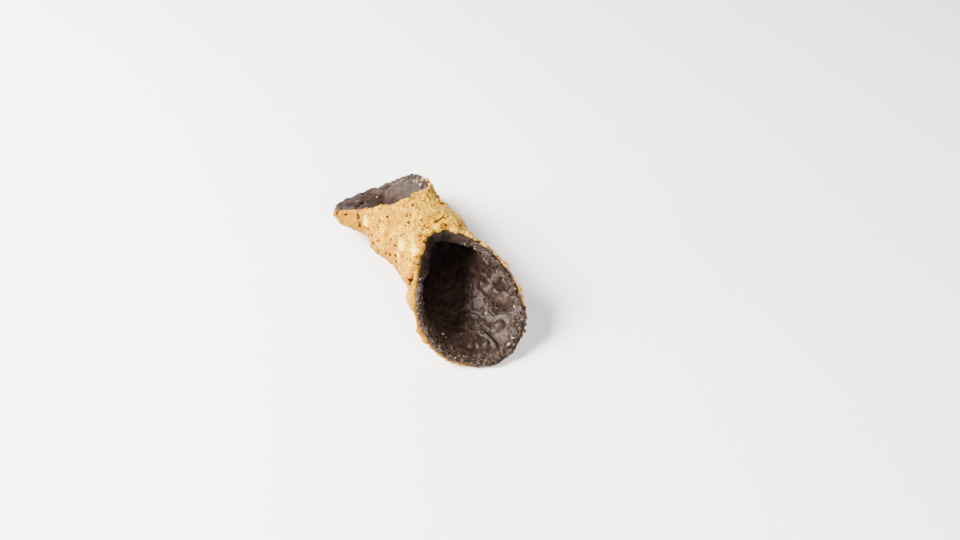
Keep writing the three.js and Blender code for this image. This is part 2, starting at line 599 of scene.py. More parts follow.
def linked(name: str, points: Array, faces: list[Sequence[int]], masks: dict[str, Array]) -> bpy.types.Object:
    """Makes a mesh object and puts it in the scene.

    Args:
        name: Name of the object and of its mesh.
        points: N by 3 positions in millimetres.
        faces: Corners of each face, by number of the point.
        masks: Values at the points, by name, which become attributes.

    Returns:
        The object.
    """
    mesh = bpy.data.meshes.new(name)
    mesh.from_pydata((points * MM).tolist(), [], faces)
    for key, values in masks.items():
        layer = mesh.attributes.new(key, "FLOAT", "POINT")
        layer.data.foreach_set("value", values.reshape(-1).astype(np.float32))
    mesh.update()
    piece = bpy.data.objects.new(name, mesh)
    bpy.context.scene.collection.objects.link(piece)
    return piece


@dataclass
class Surface:
    """A closed ring of sections, one for each column round the roll.

    Attributes:
        angle: Angle at each point, columns by loop points.
        along: Distance along the roll at each point.
        points: Positions in millimetres.
        masks: Named values at each point, which the finish reads.
        hidden: How many of the last points of each section are out of sight.
    """

    bump_radius: ClassVar[float] = 20.0  # a bump reads degrees as millimetres at this radius
    line_radius: ClassVar[float] = 22.0  # a drawn line does so at this one

    angle: Array
    along: Array
    points: Array
    masks: dict[str, Array] = field(default_factory=dict)
    hidden: int = 0

    def normals(self) -> Array:
        """Outward unit normals at each point.

        Returns:
            Vectors, with three values last.
        """
        across = np.roll(self.points, -1, axis=0) - np.roll(self.points, 1, axis=0)
        down = np.roll(self.points, -1, axis=1) - np.roll(self.points, 1, axis=1)
        n = np.cross(across, down)
        n /= np.linalg.norm(n, axis=-1, keepdims=True) + TINY
        return n * self.turned()

    def turned(self) -> float:
        """Sign that makes the grid's own cross product point outward.

        Returns:
            1 or -1.
        """
        a = p = self.points
        b = np.roll(p, -1, axis=0)
        c = np.roll(b, -1, axis=1)
        d = np.roll(p, -1, axis=1)
        middle = p.reshape(-1, 3).mean(axis=0)
        flow = np.cross(c - a, d - b)
        volume = (((a + c) / 2 - middle) * flow).sum()
        return 1.0 if volume > 0 else -1.0

    def bumped(self, bumps: list[Bump], blend: Blend, shape: float = 1.0) -> Array:
        """Height of bumps at each point.

        Args:
            bumps: The bumps.
            blend: How those that meet are joined.
            shape: Power on the dome: below 1 is flat-topped, above 1 is pointed.

        Returns:
            Heights in millimetres.
        """
        height = np.zeros(self.angle.shape)
        for bump in bumps:
            near = np.abs(self.along - bump.along) < max(bump.across, bump.length)
            if not near.any():
                continue
            x = np.radians(wrapped(self.angle[near] - bump.angle)) * self.bump_radius
            y = self.along[near] - bump.along
            c, s = math.cos(math.radians(bump.turn)), math.sin(math.radians(bump.turn))
            t = np.hypot((x * c + y * s) / bump.across, (y * c - x * s) / bump.length)
            here = bump.height * dome(t) ** shape
            old = height[near]
            height[near] = np.maximum(old, here) if blend is Blend.HIGHEST else old + here
        return height

    def moved(self, angle: Array, along: Array) -> "Surface":
        """The same points read a little to the side, so that what is drawn on them is uneven."""
        return Surface(self.angle + angle, self.along + along, self.points)

    def lined(self, route: Route, width: float) -> Array:
        """Closeness to a line drawn on the roll.

        Args:
            route: Angles and distances along that the line passes through.
            width: Distance at which the value has fallen to about a third.

        Returns:
            Values from 0 to 1.
        """
        best = np.full(self.angle.shape, np.inf)
        for (a0, s0), (a1, s1) in zip(route, route[1:]):
            x0 = np.radians(wrapped(self.angle - a0)) * self.line_radius
            y0 = self.along - s0
            dx, dy = math.radians(a1 - a0) * self.line_radius, s1 - s0
            t = np.clip((x0 * dx + y0 * dy) / (dx * dx + dy * dy), 0, 1)
            best = np.minimum(best, np.hypot(x0 - t * dx, y0 - t * dy))
        return bell(best / width)

    def to_object(self, name: str) -> bpy.types.Object:
        """Makes the Blender object, with its masks as point attributes.

        Args:
            name: Name of the object.

        Returns:
            The object, in the scene.
        """
        columns, count = self.angle.shape
        i, j = np.meshgrid(np.arange(columns), np.arange(count), indexing="ij")
        this, after = i * count, (i + 1) % columns * count
        j1 = (j + 1) % count
        quads = np.stack([this + j, after + j, after + j1, this + j1], axis=-1).reshape(-1, 4)
        if self.turned() < 0:
            quads = quads[:, ::-1]
        piece = linked(name, self.points.reshape(-1, 3), quads.tolist(), self.masks)
        piece.data.polygons.foreach_set("use_smooth", np.ones(len(quads), dtype=bool))
        piece.data.update()
        return piece


# ---------------------------------------------------------------- shader building


@dataclass
class Sock:
    """A node socket, or a link to one, that Python's operators work on."""

    tree: "Shader"
    socket: bpy.types.NodeSocket

    def _math(self, operation: str, *values: "Sock | float", clamp: bool = False) -> "Sock":
        """Adds a Math node and returns its output."""
        inputs = dict(enumerate(values))
        return self.tree.node("ShaderNodeMath", {"operation": operation, "use_clamp": clamp}, inputs)

    def __add__(self, other: "Sock | float") -> "Sock":
        """Adds."""
        return self._math("ADD", self, other)

    def __radd__(self, other: float) -> "Sock":
        """Adds, from the right."""
        return self._math("ADD", other, self)

    def __sub__(self, other: "Sock | float") -> "Sock":
        """Subtracts."""
        return self._math("SUBTRACT", self, other)

    def __rsub__(self, other: float) -> "Sock":
        """Subtracts from a number."""
        return self._math("SUBTRACT", other, self)

    def __mul__(self, other: "Sock | float") -> "Sock":
        """Multiplies."""
        return self._math("MULTIPLY", self, other)

    def __rmul__(self, other: float) -> "Sock":
        """Multiplies, from the right."""
        return self._math("MULTIPLY", other, self)

    def clamped(self) -> "Sock":
        """Holds the value between 0 and 1."""
        return self._math("ADD", self, 0.0, clamp=True)

    def band(self, low: float, high: float) -> "Sock":
        """Eases from 0 at low to 1 at high.

        Args:
            low: Where it leaves 0.
            high: Where it reaches 1.

        Returns:
            The eased value.
        """
        settings = {"interpolation_type": "SMOOTHSTEP"}
        inputs = {"Value": self, "From Min": low, "From Max": high}
        return self.tree.node("ShaderNodeMapRange", settings, inputs)


class Shader:
    """A material's node tree with one method for every node."""

    def __init__(self, name: str) -> None:
        """Starts an empty material with a Principled shader.

        Args:
            name: The material's name.
        """
        self.material = bpy.data.materials.new(name)
        self.material.use_nodes = True
        self.nodes = self.material.node_tree.nodes
        self.links = self.material.node_tree.links
        self.nodes.clear()
        self.surface = self.nodes.new("ShaderNodeBsdfPrincipled")
        output = self.nodes.new("ShaderNodeOutputMaterial")
        self.links.new(self.surface.outputs[0], output.inputs["Surface"])

    def put(self, socket: bpy.types.NodeSocket, value: object) -> None:
        """Links or sets one input socket.

        Args:
            socket: The input.
            value: A link, a number, or a tuple for a vector or a colour.
        """
        if isinstance(value, Sock):
            self.links.new(value.socket, socket)
        elif isinstance(value, tuple) and socket.type == "RGBA" and len(value) == 3:
            socket.default_value = (*value, 1.0)
        else:
            socket.default_value = value

    def node(
        self, kind: str, settings: dict[str, object], inputs: dict[object, object], out: object = 0
    ) -> Sock:
        """Adds a node.

        Args:
            kind: Blender's name of the node type.
            settings: Attributes of the node, set first.
            inputs: Values or links by socket name or number.
            out: Name or number of the output to return.

        Returns:
            The output socket.
        """
        node = self.nodes.new(kind)
        for key, value in settings.items():
            setattr(node, key, value)
        for key, value in inputs.items():
            self.put(node.inputs[key], value)
        return Sock(self, node.outputs[out])

    def dressed(self, inputs: dict[str, object]) -> bpy.types.Material:
        """Sets or links the Principled shader's sockets and returns the material.

        Args:
            inputs: Values or links by socket name.

        Returns:
            The material.
        """
        for key, value in inputs.items():
            self.put(self.surface.inputs[key], value)
        return self.material

    def where(self) -> Sock:
        """Object coordinates, which are metres in the roll's frame."""
        return self.node("ShaderNodeTexCoord", {}, {}, "Object")

    def mask(self, name: str) -> Sock:
        """A value stored on the mesh's points."""
        return self.node("ShaderNodeAttribute", {"attribute_name": name}, {}, "Fac")

    def noise(self, size_mm: float, detail: float = 3.0, roughness: float = 0.55) -> Sock:
        """Noise with features of about the given size."""
        inputs = {"Vector": self.where(), "Scale": 1 / MM / size_mm, "Detail": detail, "Roughness": roughness}
        return self.node("ShaderNodeTexNoise", {}, inputs)

    def vector(self, operation: str, inputs: dict[object, object]) -> Sock:
        """Adds a Vector Math node."""
        return self.node("ShaderNodeVectorMath", {"operation": operation}, inputs)

    def pushed(self, size_mm: float, by_mm: float) -> Sock:
        """Object coordinates pushed about by noise, which keeps cells from looking even.

        Args:
            size_mm: Distance over which the push changes.
            by_mm: Greatest push, about.

        Returns:
            The coordinates.
        """
        inputs = {"Vector": self.where(), "Scale": 1 / MM / size_mm, "Detail": 2.0}
        color = self.node("ShaderNodeTexNoise", {}, inputs, "Color")
        middle = self.vector("SUBTRACT", {0: color, 1: (0.5, 0.5, 0.5)})
        push = self.vector("SCALE", {0: middle, "Scale": 2 * by_mm * MM})
        return self.vector("ADD", {0: self.where(), 1: push})

    def spots(self, size_mm: float, at: Sock) -> Sock:
        """Distance from scattered points about size_mm apart, in shares of that size."""
        inputs = {"Vector": at, "Scale": 1 / MM / size_mm}
        return self.node("ShaderNodeTexVoronoi", {"feature": "F1"}, inputs, "Distance")

    def mix(self, share: "Sock | float", a: object, b: object) -> Sock:
        """Mixes two colours."""
        settings = {"data_type": "RGBA", "blend_type": "MIX", "clamp_factor": True}
        return self.node("ShaderNodeMix", settings, {0: share, 6: a, 7: b}, 2)

    def bump(self, height: Sock, depth_mm: float, strength: float = 1.0, below: Sock | None = None) -> Sock:
        """Turns a height from 0 to 1 into a normal.

        Args:
            height: The height.
            depth_mm: Depth that 1 stands for.
            strength: Share of it that shows.
            below: A normal that the bump is laid over.

        Returns:
            The normal.
        """
        inputs: dict[object, object] = {"Height": height, "Distance": depth_mm * MM, "Strength": strength}
        if below is not None:
            inputs["Normal"] = below
        return self.node("ShaderNodeBump", {}, inputs, "Normal")


@dataclass(frozen=True)
class FriedPastryFinish:
    """Golden fried dough: straw to orange brown, pale on blisters with some painted highlight, dark in pits
    with painted shade in their depths.

    Each length is the size of the feature that it is named for, and push_by_mm is how far the
    push moves the middles of the small blisters and pocks.
    """

    golden: Color = (0.38, 0.168, 0.0)
    straw: Color = (0.60, 0.336, 0.001)
    brown: Color = (0.22, 0.075, 0.0)
    # pale tone of blisters and grain; on the pale blisters it is partly a painted highlight
    cream_and_highlight: Color = (0.90, 0.655, 0.085)
    # near-black of scorching and of painted shade in the depths of pits, slits, pock cores and the undercut
    # below the free edge
    burnt_and_shade: Color = (0.030, 0.009, 0.002)
    russet: Color = (0.14, 0.036, 0.004)
    # painted shade: a greyer, less saturated tone for the right flank and belly, which face away from the
    # lamps
    dry: Color = (0.56, 0.33, 0.085)
    sheen: float = 0.07
    sheen_tint: Color = (1.0, 0.7, 0.2)
    broad_mm: float = 15.0
    patch_mm: float = 7.0
    mottle_mm: float = 1.9
    grain_mm: float = 1.0
    fine_mm: float = 0.36
    skin_mm: float = 1.9
    pock_mm: float = 2.7
    pock_group_mm: float = 3.4
    push_mm: float = 2.6
    push_by_mm: float = 0.55

    def build(self) -> bpy.types.Material:
        """Makes the material.

        Returns:
            The material.
        """
        s = Shader("fried_pastry")
        pushed = s.pushed(self.push_mm, self.push_by_mm)
        broad = s.noise(self.broad_mm, 2.0)
        patches = s.noise(self.patch_mm, 4.0, 0.58)
        grain = s.noise(self.grain_mm, 4.0, 0.7)
        fine = s.noise(self.fine_mm, 3.0, 0.7)
        mottle = s.noise(self.mottle_mm, 3.0, 0.65)
        skin = s.spots(self.skin_mm, pushed)
        chosen = s.noise(self.pock_group_mm, 2.0).band(0.5, 0.6)
        holes = s.spots(self.pock_mm, pushed)
        pock = (1 - holes.band(0.10, 0.24)) * chosen
        core = (1 - holes.band(0.05, 0.15)) * chosen
        pale = (s.mask("pale") + (grain - 0.5) * 0.8 + (patches - 0.5) * 0.7).band(0.2, 1.1)
        color = self._fried(s, broad, patches)
        color = self._mottled(s, color, skin, mottle, grain, patches)
        toast = s.mask("brown") + (broad - 0.5) + (patches - 0.5) * 1.1 + (grain - 0.5) * 0.7
        color = s.mix(toast.band(0.34, 1.05) * (0.3 + patches * 0.85), color, self.brown)
        # pale blisters: partly their own pale tone, partly a painted highlight
        color = s.mix(pale * (0.45 + mottle * 0.5), color, self.cream_and_highlight)
        color = s.mix(pock, color, self.russet)
        # painted shade, with some scorching: the near-black cores of the pocks
        color = s.mix(core * 0.85, color, self.burnt_and_shade)
        color = s.mix(s.mask("pit").band(0.12, 0.42), color, self.russet)
        # painted shade, with some scorching: near-black in the middle of pits and slits and in the undercut
        # below the free edge
        color = s.mix(s.mask("pit").band(0.36, 0.75), color, self.burnt_and_shade)
        relief = s.bump(patches, 0.6, 0.6)
        relief = s.bump(1 - skin.band(0.0, 0.75), 0.5, 0.9, relief)
        relief = s.bump(grain - pock * 0.9, 0.5, 0.95, relief)
        return s.dressed({
            "Base Color": color,
            "Roughness": (0.56 + grain * 0.3 - pale * 0.2).clamped(),
            "Specular IOR Level": self.sheen,
            "Specular Tint": self.sheen_tint,
            "Normal": s.bump(fine, 0.08, 0.6, relief),
        })

    def _fried(self, s: Shader, broad: Sock, patches: Sock) -> Sock:
        """The even tones: golden in the shade, straw on top as painted light, a greyer painted shade tone
        down the right flank and belly, brown in drifts.

        Args:
            s: The shader.
            broad: Broad noise.
            patches: Noise of a smaller size.

        Returns:
            The colour.
        """
        # straw where the top mask is high, mixed with random tone: painted light on dome tops and the upper
        # right flank
        topside = patches * 1.7 + broad * 0.8 + s.mask("top") * 0.4 - 0.99
        color = s.mix(topside.band(0.08, 0.5), self.golden, self.straw)
        # painted shade tone on the right flank and belly
        color = s.mix(s.mask("dry") * (0.5 + patches * 0.4), color, self.dry)
        return s.mix((1 - broad).band(0.46, 0.62) * 0.45, color, self.brown)

    def _mottled(self, s: Shader, color: Sock, skin: Sock, mottle: Sock, grain: Sock, patches: Sock) -> Sock:
        """Adds the brown web between small blisters and the light and dark grain.

        Args:
            s: The shader.
            color: The colour so far.
            skin: Distance from the middle of the nearest small blister.
            mottle: Noise of the size of a blister.
            grain: Fine noise.
            patches: Noise of a larger size.

        Returns:
            The colour.
        """
        web = skin.band(0.3, 0.62) * 0.45 + mottle.band(0.5, 0.64) * 0.5 * patches.band(0.36, 0.6)
        color = s.mix(web * (1 - s.mask("pale")), color, self.brown)
        color = s.mix(grain.band(0.51, 0.68) * 0.5, color, self.cream_and_highlight)
        return s.mix((1 - grain).band(0.53, 0.7) * 0.38, color, self.brown)


@dataclass(frozen=True)
class DarkChocolateFinish:
    """Set dark chocolate: satin, a little grey on its bumps with painted light on the lit ones, crumbly at
    the rims.

    Each length is the size of the feature that it is named for.
    """

    dark: Color = (0.0064, 0.0037, 0.0029)
    warm: Color = (0.019, 0.0106, 0.0076)
    # grey tone of random patches, also used as painted light on lit bumps, the back mouth's inside and the
    # front floor
    bloom_and_light: Color = (0.078, 0.047, 0.035)
    nubs: Color = (0.068, 0.045, 0.035)
    # painted shade: near-black for the tunnel, holes, grooves and the gaps between nubs
    painted_shade: Color = (0.0012, 0.0008, 0.0008)
    roughness: float = 0.45
    sheen: float = 0.17
    sheen_tint: Color = (1.0, 0.82, 0.72)
    broad_mm: float = 8.0
    patch_mm: float = 2.4
    grain_mm: float = 0.6

    def build(self) -> bpy.types.Material:
        """Makes the material.

        Returns:
            The material.
        """
        s = Shader("dark_chocolate")
        broad = s.noise(self.broad_mm, 3.0)
        patches = s.noise(self.patch_mm, 4.0, 0.6)
        grain = s.noise(self.grain_mm, 4.0, 0.7)
        rough = self.roughness + (patches - 0.5) * 0.2 + s.mask("crumb") * 0.08
        rough = rough + s.mask("bloom_and_light") * 0.14 + s.mask("tunnel_shade") * 0.08
        relief = s.bump(patches, 0.3, 0.5)
        return s.dressed({
            "Base Color": self._color(s, broad, patches, grain),
            "Roughness": rough.clamped(),
            "Specular IOR Level": self.sheen,
            "Specular Tint": self.sheen_tint,
            "Normal": s.bump(grain * (0.25 + s.mask("crumb")), 0.16, 0.6, relief),
        })

    def _color(self, s: Shader, broad: Sock, patches: Sock, grain: Sock) -> Sock:
        """Dark and warm patches, grey patches with painted light, lighter nubs at the rims, and painted
        shade: near-black in the tunnel, in holes and grooves and between the rims' nubs.

        Args:
            s: The shader.
            broad: Broad noise.
            patches: Noise of a smaller size.
            grain: Fine noise.

        Returns:
            The colour.
        """
        warmth = (patches * 0.9 + broad * 0.5 + grain * 0.35 - 0.37).band(0.36, 0.62)
        color = s.mix(warmth, self.dark, self.warm)
        # random grey patches plus painted light where the mask is high
        veil = s.mask("bloom_and_light") * 0.9 + (broad - 0.5) * 0.7 + (patches - 0.5) * 0.4
        color = s.mix(veil.band(0.1, 1.0) * 0.8, color, self.bloom_and_light)
        crumb, nub = s.mask("crumb"), s.mask("nub")
        color = s.mix(crumb * (nub * 1.2 + grain - 0.74).band(0.0, 0.65), color, self.nubs)
        # painted shade in the gaps between the rims' nubs
        color = s.mix(crumb * (1 - nub.band(0.0, 0.3)) * 0.75, color, self.painted_shade)
        # painted shade in holes and sunk grooves
        color = s.mix(s.mask("cavity_shade").band(0.2, 0.9) * 0.85, color, self.painted_shade)
        # painted shade that blackens the middle of the tunnel
        return s.mix(s.mask("tunnel_shade"), color, self.painted_shade)


@dataclass(frozen=True)
class CrumbFinish:
    """Flakes of fried dough, each a little different."""

    light: Color = (0.62, 0.44, 0.15)
    dark: Color = (0.30, 0.13, 0.03)
    roughness: float = 0.5

    def build(self) -> bpy.types.Material:
        """Makes the material.

        Returns:
            The material.
        """
        s = Shader("pastry_flakes")
        return s.dressed({
            "Base Color": s.mix(s.noise(1.6, 2.0).band(0.35, 0.65), self.light, self.dark),
            "Roughness": self.roughness,
            "Normal": s.bump(s.noise(0.3), 0.05, 0.5),
        })


@dataclass(frozen=True)
class FloorFinish:
    """A plain, nearly white floor."""

    color: Color = (0.92, 0.915, 0.91)
    roughness: float = 0.6

    def build(self) -> bpy.types.Material:
        """Makes the material."""
        return Shader("floor").dressed({"Base Color": self.color, "Roughness": self.roughness})


# ---------------------------------------------------------------- the pieces


@dataclass
class Crust:
    """What the fried skin does at each point, from which its height and its colours are worked out.

    Attributes:
        big: Height of the broad blisters.
        small: Height of the small bubbles.
        pale: Height of the smooth pale blisters.
        pits: Depth of the open pits.
        rings: Height of the raised skin round each pit.
        creases: Closeness to the cracks and slits.
        lumps: Soft uneven waves, from -1 to 1.
        crags: Finer uneven waves, from -1 to 1.
        ridges: Narrow crests, from 0 to 1.
        bubbly: 1 on close-packed little domes, 0 between them.
        at_edge: 1 at the free edge of the overlap, 0 away from it.
        under_edge: 1 in the undercut below it.
        from_rim: Distance to the rim.
    """

    big: Array
    small: Array
    pale: Array
    pits: Array
    rings: Array
    creases: Array
    lumps: Array
    crags: Array
    ridges: Array
    bubbly: Array
    at_edge: Array
    under_edge: Array
    from_rim: Array


@dataclass
class PastryShell:
    """The fried dough, rolled with an overlap down its left flank.

    Attributes:
        form: Sizes of the roll.
        columns: Columns round the roll.
        lines: Points along each half of the outside.
        hidden: Points along the inside, which the chocolate covers.
        undercut: How far the dough is sunk just below the free edge.
        undercut_from: Degrees behind the free edge at which that part begins.
        edge_wiggle: Degrees over which the free edge's waver dies out.
        edge_curl: Degrees over which its crumpling does.
        rim_crumple: Length over which the rim's crumpling dies out.
        blisters: The broad blisters, the same as those of the solid.
        bubbles: The small ones.
        pit_groups: How many groups of open pits there are.
        burst_growth: How much larger than listed the burst bubbles are.
        painted_light_flank: Where painted light makes the crust palest, on the upper right flank that the
            lamps reach only at a slant.
        scorched_back: Where it is darker near the back mouth.
        darker_front_left: Where it is darker towards the front rim's lower left.
        free_edge: Where it is a little darker, just behind the free edge.
    """

    form: RollForm
    columns: int = 380
    lines: int = 116
    hidden: int = 6
    undercut: float = 0.35
    undercut_from: float = 357.9
    edge_wiggle: float = 14.0
    edge_curl: float = 7.0
    rim_crumple: float = 2.2
    blisters: Scatter = Scatter(count=150, small=3.2, large=8.0, height=1.5, seed=3)
    bubbles: Scatter = Scatter(count=700, small=0.9, large=2.7, height=0.6, seed=23)
    pit_groups: int = 105
    burst_growth: float = 1.25
    painted_light_flank: ClassVar[Band] = Band(140, 36)
    scorched_back: ClassVar[Band] = Band(-72, 24)
    darker_front_left: ClassVar[Band] = Band(-38, 44)
    free_edge: ClassVar[Band] = Band(-88, 20)

    def _columns(self) -> tuple[Array, ...]:
        """Columns round the roll, with the flap's nose in cross section.

        Returns:
            Degrees behind the free edge, offset of the outside in degrees, level from the lower
            dough to the flap, and the share of the undercut.
        """
        over_edge = [
            (0.0, -0.9, 0.62, 0.0), (0.1, -0.8, 0.85, 0.0), (0.5, 0.3, 0.99, 0.0), (1.4, 0.2, 1.0, 0.0),
        ]
        under_edge = [
            (358.2, 0.0, 0.0, 0.0), (359.2, 0.4, 0.0, 0.35), (359.4, 2.6, 0.0, 1.0), (359.6, 3.3, 0.12, 1.0),
            (359.8, 2.6, 0.34, 0.8), (359.9, 0.2, 0.42, 0.2),
        ]
        plain = np.linspace(2.6, 357.0, self.columns - len(over_edge) - len(under_edge))
        rows = over_edge + [(b, 0.0, float(self.form.on_flap(b)), 0.0) for b in plain] + under_edge
        return tuple(np.array(rows).T)

    def _lines(self) -> tuple[Array, ...]:
        """Points of one section.

        Returns:
            Share of the way to a mouth, length short of it, drop at the rounded rim, and 1 outside.
        """
        f = self.form
        round_rim = [(2.4, 0.0), (1.7, 0.08), (1.2, 0.2), (0.8, 0.36), (0.45, 0.56), (0.15, 0.82), (0.0, 1.0)]
        corner = [(f.lip + back * f.rim_round, down * f.rim_round) for back, down in round_rim]
        inner = np.linspace(-1, 1, 2 * self.lines + 1)[1:-1]
        rows = [(-1.0, short, drop, 1.0) for short, drop in reversed(corner)]
        rows += [(share, corner[0][0], 0.0, 1.0) for share in inner]
        rows += [(1.0, short, drop, 1.0) for short, drop in corner]
        rows += [(share, f.lip, 0.0, 0.0) for share in np.linspace(1, -1, self.hidden)]
        return tuple(np.array(rows).T)

    def surface(self) -> Surface:
        """Works out the dough's surface with its blisters, pits, creases and ragged edges.

        Returns:
            The surface with its masks.
        """
        f = self.form
        columns = (v[:, None] for v in self._columns())
        lines = (v[None, :] for v in self._lines())
        grid = np.broadcast_arrays(*columns, *lines)
        behind, offset, level, under, share, short, drop, outside = grid
        waver = 0.9 * np.sin(share * 19) + 0.7 * np.sin(share * 43 + 1) + 0.5 * np.sin(share * 91 + 2)
        waver = waver * bell(f.from_free_edge(behind) / self.edge_wiggle)
        turned = f.edge_angle(share) + waver - behind
        angle = wrapped(turned - offset * outside)
        along = share * (f.edge(wrapped(turned), share) - short)
        skin = self._skin_radius(behind, level, under, angle, along)
        on_flap = f.on_flap(behind)
        bore = f.rolled_radius(behind, on_flap, angle, along) - f.wall - f.step * f.doubled(behind) * on_flap
        radius = np.where(outside > 0, skin - drop, bore)
        surf = Surface(angle, along, f.place(angle, along, radius))
        crust = self._crust(surf, behind, share, under)
        surf.points += surf.normals() * (self._height(surf, crust) * outside)[..., None]
        surf.points[..., 2] = np.maximum(surf.points[..., 2], 0.0)
        surf.masks = self._masks(surf, crust, behind)
        return surf

    def _skin_radius(self, behind: Array, level: Array, under: Array, angle: Array, along: Array) -> Array:
        """Outside radius before the relief, with the flap's nose and the undercut below it.

        Args:
            behind: Degrees behind the free edge.
            level: 0 on the dough under the free edge, 1 on the flap.
            under: Share of the undercut.
            angle: Angle at each point.
            along: Distance along the roll there.

        Returns:
            Radius in millimetres.
        """
        f = self.form
        none, whole = np.zeros_like(behind), np.full_like(behind, TURN)
        radius = f.rolled_radius(np.where(behind > self.undercut_from, whole, behind), level, angle, along)
        low = f.rolled_radius(whole, none, angle, along)
        high = f.rolled_radius(none, none + 1, angle, along)
        on_nose = (level > 0) & (level < 1)
        radius = np.where(on_nose, low + (high - low) * level, radius)
        return radius - self.undercut * under * (level < 0.05)

    def pits(self) -> list[Bump]:
        """Open pits of burst bubbles, in loose groups.

        Returns:
            The pits.
        """
        found = []
        rng = np.random.default_rng(41)
        for _ in range(self.pit_groups):
            a, share = rng.uniform(-180, 180), rng.uniform(-0.97, 0.97)
            s = share * float(self.form.edge(np.array(a), np.array(share)))
            for _ in range(rng.integers(1, 4)):
                size = rng.uniform(0.38, 0.9)
                long = size * rng.uniform(1.0, 2.4)
                angle, along = a + rng.normal(0, 8), s + rng.normal(0, 2.4)
                found.append(Bump(angle, along, size, long, rng.uniform(0.35, 0.95), rng.uniform(-80, 80)))
        return found

    def burst_bubbles(self) -> list[Bump]:
        """The largest pits and slits, most of them over the upper left flank.

        Returns:
            The pits.
        """
        marks = [
            Bump(-134, -13.6, 0.75, 1.0, 1.1), Bump(-154, -1.1, 0.6, 1.5, 1.1, 10),
            Bump(-114, -16.1, 0.6, 0.7, 0.9), Bump(-138, 2.2, 1.1, 0.6, 1.1, 30),
            Bump(-132, 1.7, 0.8, 0.6, 0.9), Bump(-113, 1.5, 0.6, 1.2, 1.2, 20),
            Bump(-108, 2.7, 0.6, 1.0, 1.0), Bump(-101, 4.4, 0.6, 1.1, 1.2),
            Bump(-112, 10.0, 0.7, 0.9, 1.0), Bump(-174, -2.0, 0.6, 0.8, 0.9),
            Bump(137, -8.0, 0.6, 1.3, 0.9), Bump(-97, -15.6, 0.6, 1.3, 1.1),
            Bump(-94, 0.6, 0.6, 0.9, 1.0), Bump(-163, -4.4, 0.5, 0.6, 0.8),
            Bump(-106, 27.6, 1.3, 2.6, 1.5, 15), Bump(-102, 24.0, 0.8, 1.1, 1.2),
            Bump(-99, 29.7, 0.7, 1.6, 1.2), Bump(-88, 21.5, 0.7, 1.1, 1.0),
            Bump(-81, -13.0, 0.6, 1.5, 1.1), Bump(-84, -6.0, 0.6, 1.2, 1.0),
            Bump(-82, 4.0, 0.6, 1.0, 1.0), Bump(-93, -25, 0.7, 1.5, 1.2, 15),
            Bump(-90, -19, 0.8, 1.1, 1.2), Bump(-91, -12.5, 0.6, 1.5, 1.1, -20),
            Bump(-88, -7.5, 0.9, 0.8, 1.2), Bump(-90, -2.0, 0.6, 1.2, 1.0, 10),
            Bump(-96, -21.5, 0.6, 0.8, 1.0), Bump(-84, -42, 0.7, 0.9, 1.0),
            Bump(-80, -47, 0.6, 1.1, 1.0, 30), Bump(-74, -50.5, 0.7, 0.7, 0.9),
            Bump(-93, -43, 0.6, 0.9, 1.0), Bump(-98, -38.5, 0.8, 0.6, 0.9),
            Bump(-70, -45, 0.6, 0.9, 0.9, -20), Bump(30, 10, 0.9, 1.3, 1.2, 40),
            Bump(72, -14, 0.8, 1.6, 1.1, -30), Bump(-20, -26, 0.9, 1.2, 1.1),
            Bump(98, 14, 0.7, 1.4, 1.0, 60), Bump(110, -24, 0.8, 1.2, 1.1),
            Bump(-40, 30, 0.8, 1.8, 1.2, 20),
        ]
        return [mark.grown(self.burst_growth, self.burst_growth) for mark in marks]

    def pale_blisters(self) -> list[Bump]:
        """The large smooth pale blisters.

        Returns:
            The blisters.
        """
        return [
            Bump(-124, 6.4, 4.0, 4.6, 1.2, 10), Bump(-109, 6.0, 2.4, 3.2, 0.8),
            Bump(-139, 16.0, 3.0, 5.4, 1.2, -8), Bump(-102, -25.2, 3.7, 4.2, 1.1),
            Bump(-160, -9.5, 2.6, 3.0, 0.6, 30), Bump(-128, -22, 2.2, 2.8, 0.6),
            Bump(-70, 25.5, 5.4, 5.2, 0.9), Bump(60, -20, 4.0, 5.0, 0.9),
            Bump(95, 24, 3.4, 5.2, 0.9, 20), Bump(-60, 10, 4.4, 4.8, 0.9), Bump(20, -34, 4.6, 5.4, 0.8),
            Bump(10, 30, 4.2, 5.0, 0.8), Bump(70, 6, 3.0, 4.0, 0.8),
        ]

    def flap_swells(self) -> list[Bump]:
        """Broad places where the flap stands off the dough under it.

        Returns:
            The swells.
        """
        return [
            Bump(-84, -12, 19, 18, 3.8), Bump(-76, 31, 9, 9, 1.1), Bump(-72, -43, 9, 8, 1.0),
            Bump(-70, 25.5, 7.4, 7.2, 1.5),
        ]

    def _creases(self, surf: Surface) -> Array:
        """Cracks and slits in the crust.

        Args:
            surf: The plain surface.

        Returns:
            Closeness to the nearest, from 0 to 1.
        """
        slit = surf.lined([(181, 8.6), (172, 7.9), (165, 6.6), (157, 5.6)], 0.5)
        side = surf.lined([(134, -19), (135, -15), (138, -10)], 0.4)
        flap = surf.lined([(-100, -33), (-97, -31), (-91, -32.5), (-80, -33.5), (-72, -34)], 0.5)
        under_edge = surf.lined([(-62, -18), (-66, -8), (-70, 2)], 0.4)
        return np.maximum.reduce([slit, side * 0.7, flap, under_edge * 0.6])

